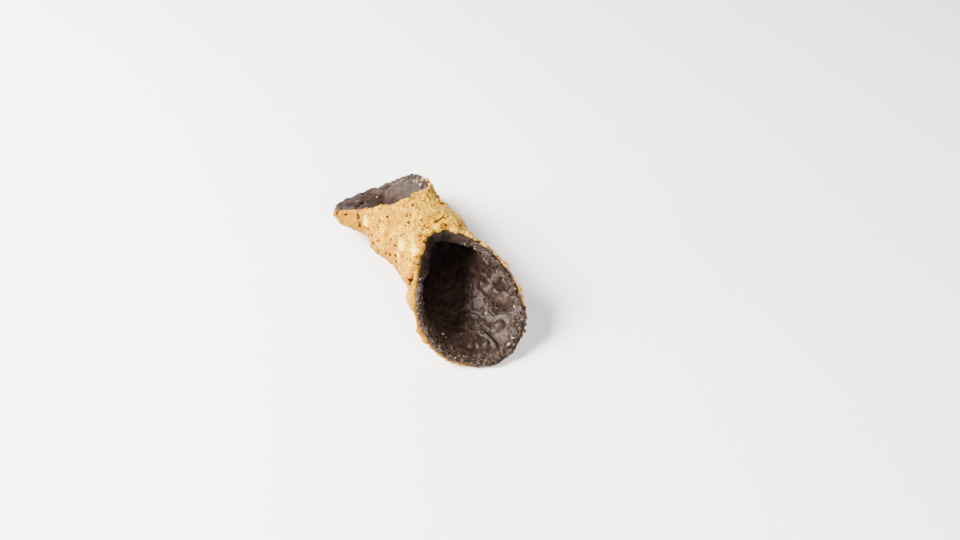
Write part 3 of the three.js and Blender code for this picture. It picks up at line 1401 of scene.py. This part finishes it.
    def _crust(self, surf: Surface, behind: Array, share: Array, under: Array) -> Crust:
        """Works out what the skin does at each point.

        Args:
            surf: The plain surface.
            behind: Degrees behind the free edge.
            share: Share of the way to a mouth.
            under: Share of the undercut.

        Returns:
            The features.
        """
        pts = surf.points
        burst = self.pits() + self.burst_bubbles()
        bends = [Noise(91 + k).layers(pts, 3.2, 2) for k in range(2)]
        nicks = [Noise(95 + k).smooth_noise(pts, 1.3) for k in range(2)]
        bent = surf.moved(6.5 * bends[0], 1.7 * bends[1])
        nicked = surf.moved(1.1 * nicks[0], 0.4 * nicks[1])
        near, second, _ = Noise(15).cells(pts + 0.9 * warped(81, pts, 4.0), 3.0)
        return Crust(
            big=surf.bumped(self.blisters.bumps(self.form), Blend.HIGHEST),
            small=surf.bumped(self.bubbles.bumps(self.form), Blend.HIGHEST, 0.8),
            pale=bent.bumped(self.pale_blisters(), Blend.HIGHEST, 0.6),
            pits=nicked.bumped(burst, Blend.HIGHEST, 0.9),
            rings=surf.bumped([b.grown(2.1, 1.7) for b in burst], Blend.HIGHEST, 0.8),
            creases=self._creases(surf),
            lumps=Noise(7).layers(pts, 9.0, 3),
            crags=Noise(9).layers(pts, 2.2, 3),
            ridges=(1 - np.abs(Noise(12).layers(pts, 6.5, 2)) * 2.2).clip(0, 1) ** 4,
            bubbly=smooth((second - near) / 0.5) * smooth(0.6 + Noise(17).smooth_noise(pts, 9.0)),
            at_edge=bell(self.form.from_free_edge(behind) / self.edge_curl),
            under_edge=under,
            from_rim=self.form.edge(surf.angle, share) - np.abs(surf.along),
        )

    def _height(self, surf: Surface, crust: Crust) -> Array:
        """How far the skin stands out from the plain roll.

        Args:
            surf: The plain surface.
            crust: Its features.

        Returns:
            Heights in millimetres.
        """
        pts = surf.points
        rough = 1 - np.clip(crust.pale * 0.9, 0, 0.85)
        at_rim = np.exp(-np.maximum(crust.from_rim - self.form.lip, 0) / self.rim_crumple)
        height = crust.big + 0.8 * crust.pale + 0.4 * crust.lumps + 0.2 * crust.rings
        height += rough * (crust.small + 0.55 * crust.bubbly + 0.36 * crust.crags + 0.3 * crust.ridges)
        height -= 1.2 * crust.pits + 0.9 * crust.creases
        height += surf.bumped(self.flap_swells(), Blend.SUM)
        height += 0.5 * at_rim * Noise(21).layers(pts, 1.6, 2)
        height += 0.4 * crust.at_edge * Noise(25).layers(pts, 2.4, 2)
        return height * (1 - 0.75 * crust.under_edge)

    def _masks(self, surf: Surface, crust: Crust, behind: Array) -> dict[str, Array]:
        """Values that the finish reads: brown, the painted shade tone, top (partly painted light), pale
        (partly a painted highlight) and pit (partly painted shade).

        Args:
            surf: The surface.
            crust: Its features.
            behind: Degrees behind the free edge.

        Returns:
            The masks by name.
        """
        angle, along = surf.angle, surf.along
        # painted light on the upper right flank, which faces away from the lamps: less brown, more straw
        flank_light = self.painted_light_flank.share(angle) * bell((along + 4) / 24)
        brown = 0.4 * np.exp(-np.maximum(crust.from_rim, 0) / 6.0) - 0.25 * flank_light
        brown += 0.4 * crust.at_edge * (behind < TURN / 2) + 0.3 * eased(np.abs(angle), 70, 10)
        brown += 0.45 * self.scorched_back.share(angle) * eased(along, -26, -40)
        # darker towards the front rim's lower left
        brown += 0.55 * self.darker_front_left.share(angle) * eased(along, 26, 40)
        brown += 0.3 * self.free_edge.share(angle)
        brown += 0.3 * crust.ridges + 0.4 * crust.rings + 0.25 * (1 - crust.bubbly)
        # top: painted light on the tops of domes and bubbles and on the upper right flank
        top = 0.7 * crust.bubbly + 0.5 * crust.small + 0.2 * crust.big + 0.3 * flank_light
        # pale: the smooth pale blisters and bubble tops, made pale partly as a painted highlight
        pale = 1.05 * crust.pale + 0.45 * crust.small * crust.bubbly - 0.5 * crust.crags.clip(0, 1)
        # pit: pits and slits, browned and darkened with painted shade in their depths, and the undercut below
        # the free edge, darkened as painted shade
        pit = np.maximum.reduce([1.35 * crust.pits, 0.9 * crust.creases, 0.75 * crust.under_edge])
        return {
            "brown": brown.clip(0, 1.4),
            # painted shade: the right flank and belly, which face away from the lamps
            "dry": eased(angle, 172, 127) * eased(angle, -70, -30),
            "top": top.clip(0, 1.3),
            "pale": pale.clip(0, 1),
            "pit": pit.clip(0, 1),
        }

    def build(self, finish: FriedPastryFinish) -> bpy.types.Object:
        """Makes the piece.

        Args:
            finish: The look of the dough.

        Returns:
            The piece.
        """
        piece = self.surface().to_object("fried_dough")
        piece.data.materials.append(finish.build())
        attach(piece, "root")
        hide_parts("pastry_shell")
        return piece


@dataclass(frozen=True)
class Wrinkle:
    """A fold or crack in the coat: where it runs, its width, and its height, negative where sunk."""

    route: Route
    width: float
    height: float


@dataclass
class ChocolateLining:
    """The chocolate inside the roll and over both of its rims.

    Attributes:
        form: Sizes of the roll.
        columns: Columns round the roll.
        front_lines: Points from the front lip to the waist.
        back_lines: Points from there to the back lip.
        lip_points: Points over each lip.
        hidden: Points along the back of the coat, which the dough covers.
        crowding: Power that crowds those points towards the lips.
        least_height: No point lies lower than this over the floor.
        bubbles: The broad bubbles, the same as those of the solid.
        beads: The small ones.
        hole_count: How many small holes are scattered over the coat.
        rim_swell: How much thicker the coat is at the rims.
        arch_swell: How much thicker still over the arch.
        swell_run: Length over which it thins out again.
        front_crumbs: Least length over which the front rim's crumbs thin out.
        front_crumbs_more: Half of what is added to that at crumbly_front_at.
        back_crumbs: The same length at the back rim.
        crumbly_front_at: Angle at which the front rim is the most crumbly.
        lit_floor: Where painted light lightens the lower left floor of the front mouth.
    """

    form: RollForm
    columns: int = 400
    front_lines: int = 118
    back_lines: int = 80
    lip_points: int = 18
    hidden: int = 5
    crowding: float = 1.3
    least_height: float = 0.25
    bubbles: Scatter = Scatter(count=110, small=2.8, large=6.5, height=1.5, seed=11)
    beads: Scatter = Scatter(count=620, small=0.6, large=1.9, height=0.55, seed=31)
    hole_count: int = 90
    rim_swell: float = 0.5
    arch_swell: float = 1.7
    swell_run: float = 3.0
    front_crumbs: float = 1.5
    front_crumbs_more: float = 1.1
    back_crumbs: float = 2.8
    crumbly_front_at: ClassVar[float] = 25.0
    lit_floor: ClassVar[Band] = Band(-52, 34)

    def surface(self) -> Surface:
        """Works out the coat's surface with its bubbles, wrinkles and crumbly rims.

        Returns:
            The surface with its masks.
        """
        f = self.form
        past_edge = [358.4, 359.2, 359.7]
        plain = np.linspace(0, 357.2, self.columns - len(past_edge))
        behind = np.concatenate([plain, past_edge])[:, None]
        turnover = np.concatenate([np.zeros(self.columns - 2), [0.35, 0.75]])[:, None]
        to_front = 1 - np.linspace(0, 1, self.front_lines + 1)[1:] ** self.crowding
        to_back = np.linspace(1, 0, self.back_lines + 1)[1:-1] ** self.crowding - 1
        shares = np.concatenate([to_front, to_back])
        front, back = (self._lip(behind, turnover, side) for side in (1.0, -1.0))
        inner = self._run(behind, shares, short=0.0, outward=0.0)
        outer = self._run(behind, np.linspace(-1, 1, self.hidden), short=0.2, outward=f.coat + 0.9 * f.gap)
        parts = [front, inner, tuple(v[:, ::-1] for v in back), outer]
        angle, along, radius = (np.concatenate(values, axis=1) for values in zip(*parts))
        surf = Surface(angle, along, f.place(angle, along, radius), hidden=self.hidden)
        self._add_relief(surf, len(shares))
        surf.points[..., 2] = np.maximum(surf.points[..., 2], self.least_height)
        return surf

    def _run(self, behind: Array, shares: Array, short: float, outward: float) -> tuple[Array, Array, Array]:
        """Points from mouth to mouth.

        Args:
            behind: Degrees behind the free edge, one row a column.
            shares: Shares of the way to a mouth, -1 at the back.
            short: Length by which the run stops short of the lip.
            outward: Distance outward from the coat's inside.

        Returns:
            Angle, distance along and radius, columns by shares.
        """
        f = self.form
        share = shares[None, :]
        angle = wrapped(f.edge_angle(share) - behind)
        along = share * (f.edge(angle, share) - f.lip - short)
        return angle, along, self._coat_radius(behind, angle, along) + outward

    def _coat_radius(self, behind: Array, angle: Array, along: Array) -> Array:
        """Radius of the coat's inside before its relief.

        Args:
            behind: Degrees behind the free edge.
            angle: Angle at each point.
            along: Distance along the roll there.

        Returns:
            Radius in millimetres.
        """
        f = self.form
        on_flap = f.on_flap(behind)
        radius = f.rolled_radius(behind, on_flap, angle, along)
        from_lip = np.abs(f.edge(angle, along) - np.abs(along) - f.lip)
        thick = (self.arch(angle, along) * self.arch_swell + self.rim_swell) * bell(from_lip / self.swell_run)
        return radius - f.wall - f.gap - f.coat - f.step * f.doubled(behind) * on_flap - thick

    def arch(self, angle: Array, along: Array) -> Array:
        """1 over the smooth upper part of the front rim, 0 elsewhere."""
        return eased(np.abs(wrapped(angle - 190)), 66, 46) * (along > 0)

    def _lip(self, behind: Array, turnover: Array, side: float) -> tuple[Array, Array, Array]:
        """The coat over one rim, from its outer edge to the inside.

        Args:
            behind: Degrees behind the free edge, one row a column.
            turnover: Share by which a column climbs from the lower dough to the flap.
            side: 1 at the front, -1 at the back.

        Returns:
            Angle, distance along and radius, columns by lip points.
        """
        f = self.form
        angle = wrapped(f.edge_angle(np.array(side)) - behind)
        edge = f.edge(angle, np.array(side))
        along = side * (edge - f.lip)
        outside = f.rolled_radius(behind, f.on_flap(behind), angle, along)
        flap = f.rolled_radius(0 * behind, 0 * behind + 1, angle, along)
        outer = outside + (flap - outside) * smooth(turnover) - f.rim_round - f.bare_rim
        inner = self._coat_radius(behind, angle, along)
        swell = 0.35 * np.sin(np.radians(angle) * 9 + 1.3) * np.sin(np.radians(angle) * 4)
        knots = [
            (outer + 0.1, edge - f.lip - 0.35),
            (outer + 0.25, edge - 0.75 * f.lip),
            (outer + 0.1, edge - 0.4 * f.lip),
            (outer - 0.6, edge + 0.05),
            ((outer + inner) / 2, edge + 0.2 + swell),
            (inner + 0.5, edge - 0.2),
            (inner, edge - f.lip),
        ]
        at = np.arange(len(knots))
        steps = np.linspace(0, at[-1], self.lip_points + 1)[:-1]
        radii, reaches = (np.hstack(values) for values in zip(*knots))
        radius = np.stack([np.interp(steps, at, row) for row in radii])
        reach = np.stack([np.interp(steps, at, row) for row in reaches])
        return np.broadcast_to(angle, radius.shape), side * reach, radius

    def wrinkles(self) -> list[Wrinkle]:
        """Folds and cracks in the coat, most of them inside the front mouth.

        Returns:
            The wrinkles.
        """
        hook = [
            (49, 39.1), (52, 41.6), (48, 43.9), (42, 44.8), (43, 48.2), (51, 51.2), (59, 52.4), (65, 50.5),
        ]
        crack = [(4, 46.8), (14, 49.0), (17, 53.5), (18, 58.0), (17, 61.5)]
        return [
            Wrinkle(hook, 0.5, -1.0),
            Wrinkle([(angle - 5, along - 0.6) for angle, along in hook[:5]], 0.9, 0.6),
            Wrinkle(crack, 0.55, -1.0),
            Wrinkle([(angle - 3.5, along + 1.2) for angle, along in crack], 0.8, 0.7),
            Wrinkle([(115, 24.6), (106, 30), (99, 34.5), (92, 39), (84, 43.5)], 0.8, 0.8),
            Wrinkle([(100, 10), (88, 11.9), (63, 12.8), (38, 11.7), (15, 9)], 1.4, 0.55),
            Wrinkle([(-8, 33), (2, 36.5), (12, 38.5), (20, 42)], 0.7, 0.5),
            Wrinkle([(76, 33), (66, 38.5), (64, 42)], 0.7, -0.5),
            Wrinkle([(-60, 12), (-58, 24), (-54, 34)], 1.2, 0.3),
            Wrinkle([(50, -73), (32, -66), (13, -57)], 2.4, -1.7),
            Wrinkle([(64, -60), (46, -66), (30, -72)], 3.0, 1.5),
            Wrinkle([(-25, -44), (-20, -55), (-12, -66)], 2.2, 1.0),
            Wrinkle([(-40, -56), (-20, -62), (-4, -66)], 0.9, -0.9),
        ]

    def blobs(self) -> list[Bump]:
        """The larger rounded bumps inside the mouths.

        Returns:
            The bumps.
        """
        return [
            Bump(117, 21.4, 1.8, 1.8, 1.4), Bump(98, 26.3, 3.4, 3.0, 1.1), Bump(104, 32.9, 2.4, 2.4, 0.9),
            Bump(82, 37.1, 4.8, 3.6, 2.4), Bump(57, 35.4, 3.4, 4.4, 1.4), Bump(59, 45.7, 4.4, 4.8, 1.8),
            Bump(31, 41.3, 1.4, 1.4, 0.9), Bump(19, 47.3, 2.3, 2.3, 1.2), Bump(32, 54.1, 3.3, 3.3, 1.5),
            Bump(-33, 54.8, 1.3, 2.5, 1.1), Bump(-9, 55.9, 1.5, 2.6, 0.9), Bump(-2, 57.5, 1.2, 2.2, 0.8),
            Bump(-1, 62.3, 2.2, 1.5, 0.9), Bump(7, 58.5, 1.6, 2.0, 0.7), Bump(12, 52.0, 2.0, 2.6, 0.7),
            Bump(83, 44.1, 1.6, 1.6, 0.8), Bump(75, 47.5, 1.8, 1.5, 0.9), Bump(46, 58, 2.2, 2.0, 0.8),
            Bump(70, 30, 3.0, 3.2, 0.8), Bump(-20, 48, 3.4, 4.4, 0.5), Bump(20, 33, 3.4, 4.0, 0.5),
            Bump(42, -67, 4.5, 4.5, 0.7), Bump(-2, -50, 5, 6, 0.7), Bump(62, 22, 3.6, 3.6, 0.7),
        ]

    def holes(self) -> list[Bump]:
        """Small holes left by bubbles.

        Returns:
            The holes.
        """
        found = [
            Bump(1, 35.8, 1.0, 0.8, 1.4), Bump(-50, 50.1, 1.1, 1.5, 1.8, 20), Bump(8, 37.5, 1.3, 0.6, 0.9),
            Bump(30, 43.4, 1.2, 0.5, 0.9), Bump(-3, -65.6, 1.5, 1.1, 1.6), Bump(10, -75.0, 1.3, 1.0, 1.2),
            Bump(70, -57, 1.5, 1.2, 1.0), Bump(-5, 39.5, 0.7, 0.5, 0.8),
        ]
        rng = np.random.default_rng(77)
        for _ in range(self.hole_count):
            a, share = rng.uniform(-180, 180), rng.uniform(-0.97, 0.98)
            s = share * float(self.form.edge(np.array(a), np.array(share)))
            found.append(Bump(a, s, rng.uniform(0.3, 0.6), rng.uniform(0.3, 0.7), rng.uniform(0.3, 0.7)))
        return found

    def _crumbliness(self, surf: Surface, lip: Array) -> Array:
        """1 on the crumbly rims, fading to 0 down the inside and over the arch.

        Args:
            surf: The plain surface.
            lip: 1 on the lips, 0 elsewhere.

        Returns:
            Values from 0 to 1.
        """
        from_rim = self.form.edge(surf.angle, surf.along) - np.abs(surf.along)
        more = self.front_crumbs_more * (1 + np.cos(np.radians(surf.angle - self.crumbly_front_at)))
        fade = np.where(surf.along > 0, self.front_crumbs + more, self.back_crumbs)
        near_rim = np.exp(-np.maximum(from_rim - 1.0, 0) / fade)
        return np.clip((lip * 0.95 + near_rim) * (1 - self.arch(surf.angle, surf.along) * 0.96), 0, 1)

    def _along_section(self, inner_points: int) -> tuple[Array, Array, Array]:
        """Values at the points of every section.

        Args:
            inner_points: How many of them lie between the lips.

        Returns:
            1 on both lips; 0 at the lips' outer edges, rising to 1 over each; 1 where the coat shows.
        """
        on_lip, between, back = np.ones(self.lip_points), np.zeros(inner_points), np.zeros(self.hidden)
        rising = np.linspace(0, 1, self.lip_points) ** 0.5
        lip = np.concatenate([on_lip, between, on_lip, back])
        soft = np.concatenate([rising, between + 1, rising[::-1], back + 1])
        shown = np.concatenate([on_lip, between + 1, on_lip, back])
        return lip, soft, shown

    def _grit(self, pts: Array, warp: Array) -> tuple[Array, Array]:
        """Grains of the crumbly rims.

        Args:
            pts: Positions of the plain surface.
            warp: Noises that push them about.

        Returns:
            Heights of small nubs and of larger chunks, from 0 to 1.
        """
        near, second, label = Noise(59).cells(pts + warp * 0.3, 1.35)
        chunk, _, chunk_label = Noise(67).cells(pts + warp * 0.5, 2.6)
        nubs = smooth((second - near) / 0.45) * (0.25 + 0.75 * label)
        return nubs, (1 - chunk / 0.8).clip(0, 1) ** 0.6 * chunk_label

    def _add_relief(self, surf: Surface, inner_points: int) -> None:
        """Pushes the coat in and out along its normals and stores the masks.

        Args:
            surf: The coat, whose points are moved.
            inner_points: How many points of each section lie between the lips.
        """
        pts, angle, along = surf.points, surf.angle, surf.along
        lip, soft, shown = self._along_section(inner_points)
        inside = 1 - lip
        toward_side = 0.55 + 0.45 * eased(np.abs(wrapped(angle - 66)), 80, 30)
        rugged = eased(along, 14, 38) * toward_side
        big = surf.bumped(self.bubbles.bumps(self.form), Blend.HIGHEST)
        small = surf.bumped(self.beads.bumps(self.form), Blend.HIGHEST, 0.8)
        blobs = surf.bumped(self.blobs(), Blend.HIGHEST, 0.8)
        holes = surf.bumped(self.holes(), Blend.HIGHEST)
        wrinkles = [(wrinkle, surf.lined(wrinkle.route, wrinkle.width)) for wrinkle in self.wrinkles()]
        warp = warped(61, pts, 5.0)
        lumps = Noise(51).layers(pts, 11.0, 2)
        folds = (1 - np.abs(Noise(53).smooth_noise(pts + warp * 3.0, 8.0)) * 3.0).clip(0, 1) ** 2
        fine = Noise(57).layers(pts, 1.6, 3)
        nubs, chunks = self._grit(pts, warp)
        crumb = self._crumbliness(surf, lip)
        bumpy = big * 0.7 + small * 0.75 + blobs * 1.15 + folds * 0.5
        height = inside * ((0.35 + 0.65 * rugged) * bumpy + 0.3 * lumps)
        height += 0.16 * fine * (0.3 + rugged) + lip * (1 - crumb) * 0.25 * lumps
        height += inside * sum(wrinkle.height * closeness for wrinkle, closeness in wrinkles)
        height += crumb * (0.75 * nubs + 0.75 * chunks - 0.45 + 0.3 * fine) * soft
        height -= 0.8 * holes * np.maximum(inside, 0.6)
        surf.points += surf.normals() * (height * shown)[..., None]
        grooves = [
            closeness * min(1.0, -wrinkle.height)
            for wrinkle, closeness in wrinkles
            if wrinkle.height < 0 and wrinkle.width < 1
        ]
        # painted light on the front mouth's lower left floor, which the lamps leave in the left wall's shadow
        floor_light = self.lit_floor.share(angle) * eased(along, 32, 40)
        # painted light: the back mouth's lit inside, the lit bumps of the front mouth and its lower left
        # floor
        bloom_and_light = 0.36 * eased(along, -26, -46) + 0.55 * rugged * (blobs / 1.2).clip(0, 1) + 0.42 * floor_light
        surf.masks = {
            "crumb": crumb,
            "nub": (0.65 * nubs + 0.5 * chunks).clip(0, 1),
            # painted shade: the middle of the tunnel, blackened
            "tunnel_shade": 0.8 * eased(along, 26, 4) * eased(along, -44, -22) * inside,
            "bloom_and_light": bloom_and_light.clip(0, 1),
            # painted shade: holes and sunk grooves darkened
            "cavity_shade": np.maximum(holes, np.maximum.reduce(grooves) * 0.9 * inside).clip(0, 1),
        }

    def build(self, finish: DarkChocolateFinish) -> tuple[bpy.types.Object, Surface]:
        """Makes the piece and returns it with its surface, which the crumbs lie on.

        Args:
            finish: The look of the chocolate.

        Returns:
            The piece and its surface.
        """
        surf = self.surface()
        piece = surf.to_object("chocolate_coat")
        piece.data.materials.append(finish.build())
        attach(piece, "root")
        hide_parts("chocolate_lining")
        return piece, surf


@dataclass
class Crumbs:
    """Bits stuck to the coat, all in one mesh.

    Attributes:
        name: Name of the piece.
        count: How many are scattered.
        small: Least size across.
        large: Largest size across.
        seed: Chooses the draw.
        rims: Share of them that sit on the crumbly rims.
        flat: How flat they are, 1 being as tall as wide.
        material_slot: Name of the material it is meant for; not used.
        placed: More of them: angle, distance along and size.
        sides: Corners round each.
        ends: How far each reaches below and above the surface, in shares of its size.
        taper: Width of the top, as a share of the foot's.
        deepest: They start at this share of the way to the rim.
        lowest: The coat is bare below this height over the floor.
        clear: Their own corners stay this far over the floor.
        crumbly_from: Least crumbliness of the coat where the rims' share lies.
        clean_until: Greatest crumbliness where the others lie.
        clean_from: Distance from the waist at which those begin.
    """

    name: str
    count: int
    small: float
    large: float
    seed: int
    rims: float
    flat: float
    material_slot: str
    placed: tuple[Place, ...]
    sides: int = 5
    ends: tuple[float, float] = (-0.35, 0.65)
    taper: float = 0.75
    deepest: float = 0.55
    lowest: float = 0.6
    clear: float = 0.05
    crumbly_from: float = 0.55
    clean_until: float = 0.4
    clean_from: float = 25.0

    def build(self, surf: Surface, material: bpy.types.Material) -> bpy.types.Object:
        """Makes the piece.

        Args:
            surf: The coat's surface.
            material: The material.

        Returns:
            The piece.
        """
        rng = np.random.default_rng(self.seed)
        points, normals = surf.points.reshape(-1, 3), surf.normals().reshape(-1, 3)
        spots = self._placed_spots(surf)
        bits = [self._bit(rng, points[k], normals[k], size) for k, size in spots]
        on_rim, inside = self._pools(surf)
        for _ in range(self.count):
            pool = on_rim if rng.uniform() < self.rims else inside
            k = int(rng.choice(pool))
            size = self.small + (self.large - self.small) * rng.uniform() ** 2
            bits.append(self._bit(rng, points[k], normals[k], size))
        corners = np.concatenate(bits)
        corners[:, 2] = np.maximum(corners[:, 2], self.clear)
        masks = {key: np.repeat(rng.uniform(0.2, 1.0, len(bits)), 2 * self.sides) for key in ("crumb", "nub")}
        piece = linked(self.name, corners, self._faces(len(bits)), masks)
        piece.data.materials.append(material)
        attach(piece, "root")
        return piece

    def _allowed(self, surf: Surface) -> Array:
        """Where crumbs may lie: the open part of the coat, clear of the floor.

        Args:
            surf: The coat.

        Returns:
            True where they may.
        """
        along = np.abs(surf.along)
        columns, count = along.shape
        seen = np.broadcast_to(np.arange(count) < count - surf.hidden, (columns, count))
        near_mouth = along / along.max(axis=1, keepdims=True) > self.deepest
        return seen & near_mouth & (surf.points[..., 2] > self.lowest)

    def _pools(self, surf: Surface) -> tuple[Array, Array]:
        """Points on the crumbly rims, and points on the clean coat inside the mouths.

        Args:
            surf: The coat.

        Returns:
            Numbers of the points.
        """
        crumb, allowed = surf.masks["crumb"], self._allowed(surf)
        on_rim = allowed & (crumb > self.crumbly_from)
        inside = allowed & (crumb < self.clean_until) & (np.abs(surf.along) > self.clean_from)
        return np.flatnonzero(on_rim), np.flatnonzero(inside)

    def _placed_spots(self, surf: Surface) -> list[tuple[int, float]]:
        """Number of the nearest point, and size, for each crumb with a place of its own.

        Args:
            surf: The coat.

        Returns:
            Point and size of each.
        """
        allowed = self._allowed(surf)
        spots = []
        for angle, along, size in self.placed:
            apart = np.abs(wrapped(surf.angle - angle)) * 0.4 + np.abs(surf.along - along)
            spots.append((int(np.where(allowed, apart, np.inf).argmin()), size))
        return spots

    def _bit(self, rng: np.random.Generator, point: Array, normal: Array, size: float) -> Array:
        """Corners of one uneven bit, sunk a little into the surface, the foot's first.

        Args:
            rng: Source of its unevenness.
            point: Where it lies.
            normal: The surface's normal there.
            size: Size across.

        Returns:
            Positions in millimetres.
        """
        side = np.cross(normal, rng.normal(size=3))
        side /= np.linalg.norm(side) + TINY
        other = np.cross(normal, side)
        stretch = rng.uniform(0.7, 2.8)
        corners = []
        for end, width in zip(self.ends, (1.0, self.taper)):
            for k in range(self.sides):
                a = 2 * math.pi * (k + rng.uniform(-0.25, 0.25)) / self.sides
                r = size * 0.5 * rng.uniform(0.65, 1.15) * width
                tall = size * self.flat * end * rng.uniform(0.8, 1.2)
                outward = side * r * math.cos(a) * stretch + other * r * math.sin(a)
                corners.append(point + outward + normal * tall)
        return np.array(corners)

    def _faces(self, count: int) -> list[list[int]]:
        """Faces of all the bits: a foot, a top and the sides of each.

        Args:
            count: How many bits.

        Returns:
            Corners of each face, by number.
        """
        faces = []
        for start in range(0, count * 2 * self.sides, 2 * self.sides):
            low = range(start, start + self.sides)
            high = range(start + self.sides, start + 2 * self.sides)
            faces += [list(reversed(low)), list(high)]
            for k in range(self.sides):
                n = (k + 1) % self.sides
                faces.append([low[k], low[n], high[n], high[k]])
        return faces


@dataclass(frozen=True)
class Softbox:
    """A square light that faces the middle of the scene: place and size in metres, power in watts."""

    name: str
    place: Place
    size: float
    power: float
    color: Color

    def build(self) -> None:
        """Adds the light."""
        data = bpy.data.lights.new(self.name, "AREA")
        data.size, data.energy, data.color = self.size, self.power, self.color
        lamp = bpy.data.objects.new(self.name, data)
        lamp.location = self.place
        lamp.rotation_euler = (Vector((0, 0, 0.02)) - Vector(self.place)).to_track_quat("-Z", "Y").to_euler()
        bpy.context.scene.collection.objects.link(lamp)


@dataclass
class Studio:
    """Floor, soft lights and camera.

    Attributes:
        focal_mm: The camera's focal length.
        sensor_mm: Width of its sensor.
        nearest: Distance in metres from which it sees.
        eye: Where it stands, in millimetres.
        heading: Degrees by which it looks to the right of +Y.
        down: Degrees by which it looks down.
        floor_mm: Side of the square floor.
        room_color: Colour of the light from all round.
        room_light: Strength of that light.
        lights: The soft lights.
    """

    focal_mm: float = 41.925
    sensor_mm: float = 36.0
    nearest: float = 0.01
    eye: Place = (-171.3, -391.5, 387.1)
    heading: float = 27.63
    down: float = 42.0
    floor_mm: float = 6000.0
    room_color: Color = (1.0, 0.985, 0.965)
    room_light: float = 0.27
    lights: tuple[Softbox, ...] = (
        Softbox("left_window", (-0.70, 0.27, 0.75), 0.45, 78.0, (1.0, 0.985, 0.96)),
        Softbox("low_window", (-0.90, 0.36, 0.30), 0.4, 15.0, (1.0, 0.985, 0.96)),
        Softbox("front_fill", (-0.10, -0.95, 0.75), 0.6, 23.0, (1.0, 0.99, 0.98)),
    )

    def build(self) -> None:
        """Makes the floor, the lights, the world and the camera."""
        self._floor()
        for light in self.lights:
            light.build()
        world = bpy.data.worlds.new("soft_room")
        world.use_nodes = True
        background = world.node_tree.nodes["Background"].inputs
        background["Color"].default_value = (*self.room_color, 1.0)
        background["Strength"].default_value = self.room_light
        bpy.context.scene.world = world
        self._camera()

    def _floor(self) -> None:
        """Adds the floor."""
        h = self.floor_mm / 2
        corners = np.array([(-h, -h, 0), (h, -h, 0), (h, h, 0), (-h, h, 0)])
        floor = linked("floor", corners, [(0, 1, 2, 3)], {})
        floor.data.materials.append(FloorFinish().build())

    def _camera(self) -> None:
        """Adds the camera, level from side to side."""
        data = bpy.data.cameras.new("camera")
        data.lens, data.sensor_width, data.clip_start = self.focal_mm, self.sensor_mm, self.nearest
        camera = bpy.data.objects.new("camera", data)
        camera.location = Vector(self.eye) * MM
        camera.rotation_euler = (math.radians(90 - self.down), 0.0, math.radians(-self.heading))
        bpy.context.scene.collection.objects.link(camera)
        bpy.context.scene.camera = camera


CHOCOLATE_NIBS = Crumbs(
    name="chocolate_nibs", material_slot="dark_chocolate",
    count=800, small=0.35, large=1.5, seed=5, rims=0.95, flat=0.6,
    placed=((50, 60.5, 2.8), (44, 62, 3.0), (55, 58.5, 2.0)),
)
PASTRY_FLAKES = Crumbs(
    name="pastry_flakes", material_slot="fried_pastry",
    count=120, small=0.22, large=0.75, seed=8, rims=0.97, flat=0.3,
    placed=(
        (-37, 46.4, 1.0), (25, 65.1, 1.6), (61, 52.4, 1.1), (32, 63.9, 1.1), (30, 42.4, 0.9), (-13, 48, 0.7),
        (97, -44.5, 2.2), (105, -42, 1.6), (90, -47, 1.9), (112, -40, 1.3), (84, -50, 1.4), (101, -40, 1.2),
    ),
)


def report(piece: bpy.types.Object) -> None:
    """Logs a finished piece."""
    log.info("%s: %d faces", piece.name, len(piece.data.polygons))


def main() -> None:
    """Builds the shell and its surroundings."""
    logging.basicConfig(level=logging.INFO, format="%(name)s: %(message)s")
    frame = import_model()
    log.info("nodes %s", sorted(frame["nodes"]))
    Studio().build()
    form = RollForm()
    report(PastryShell(form).build(FriedPastryFinish()))
    coat, coat_surface = ChocolateLining(form).build(DarkChocolateFinish())
    report(coat)
    report(CHOCOLATE_NIBS.build(coat_surface, coat.data.materials[0]))
    report(PASTRY_FLAKES.build(coat_surface, CrumbFinish().build()))


if __name__ == "__main__":
    main()
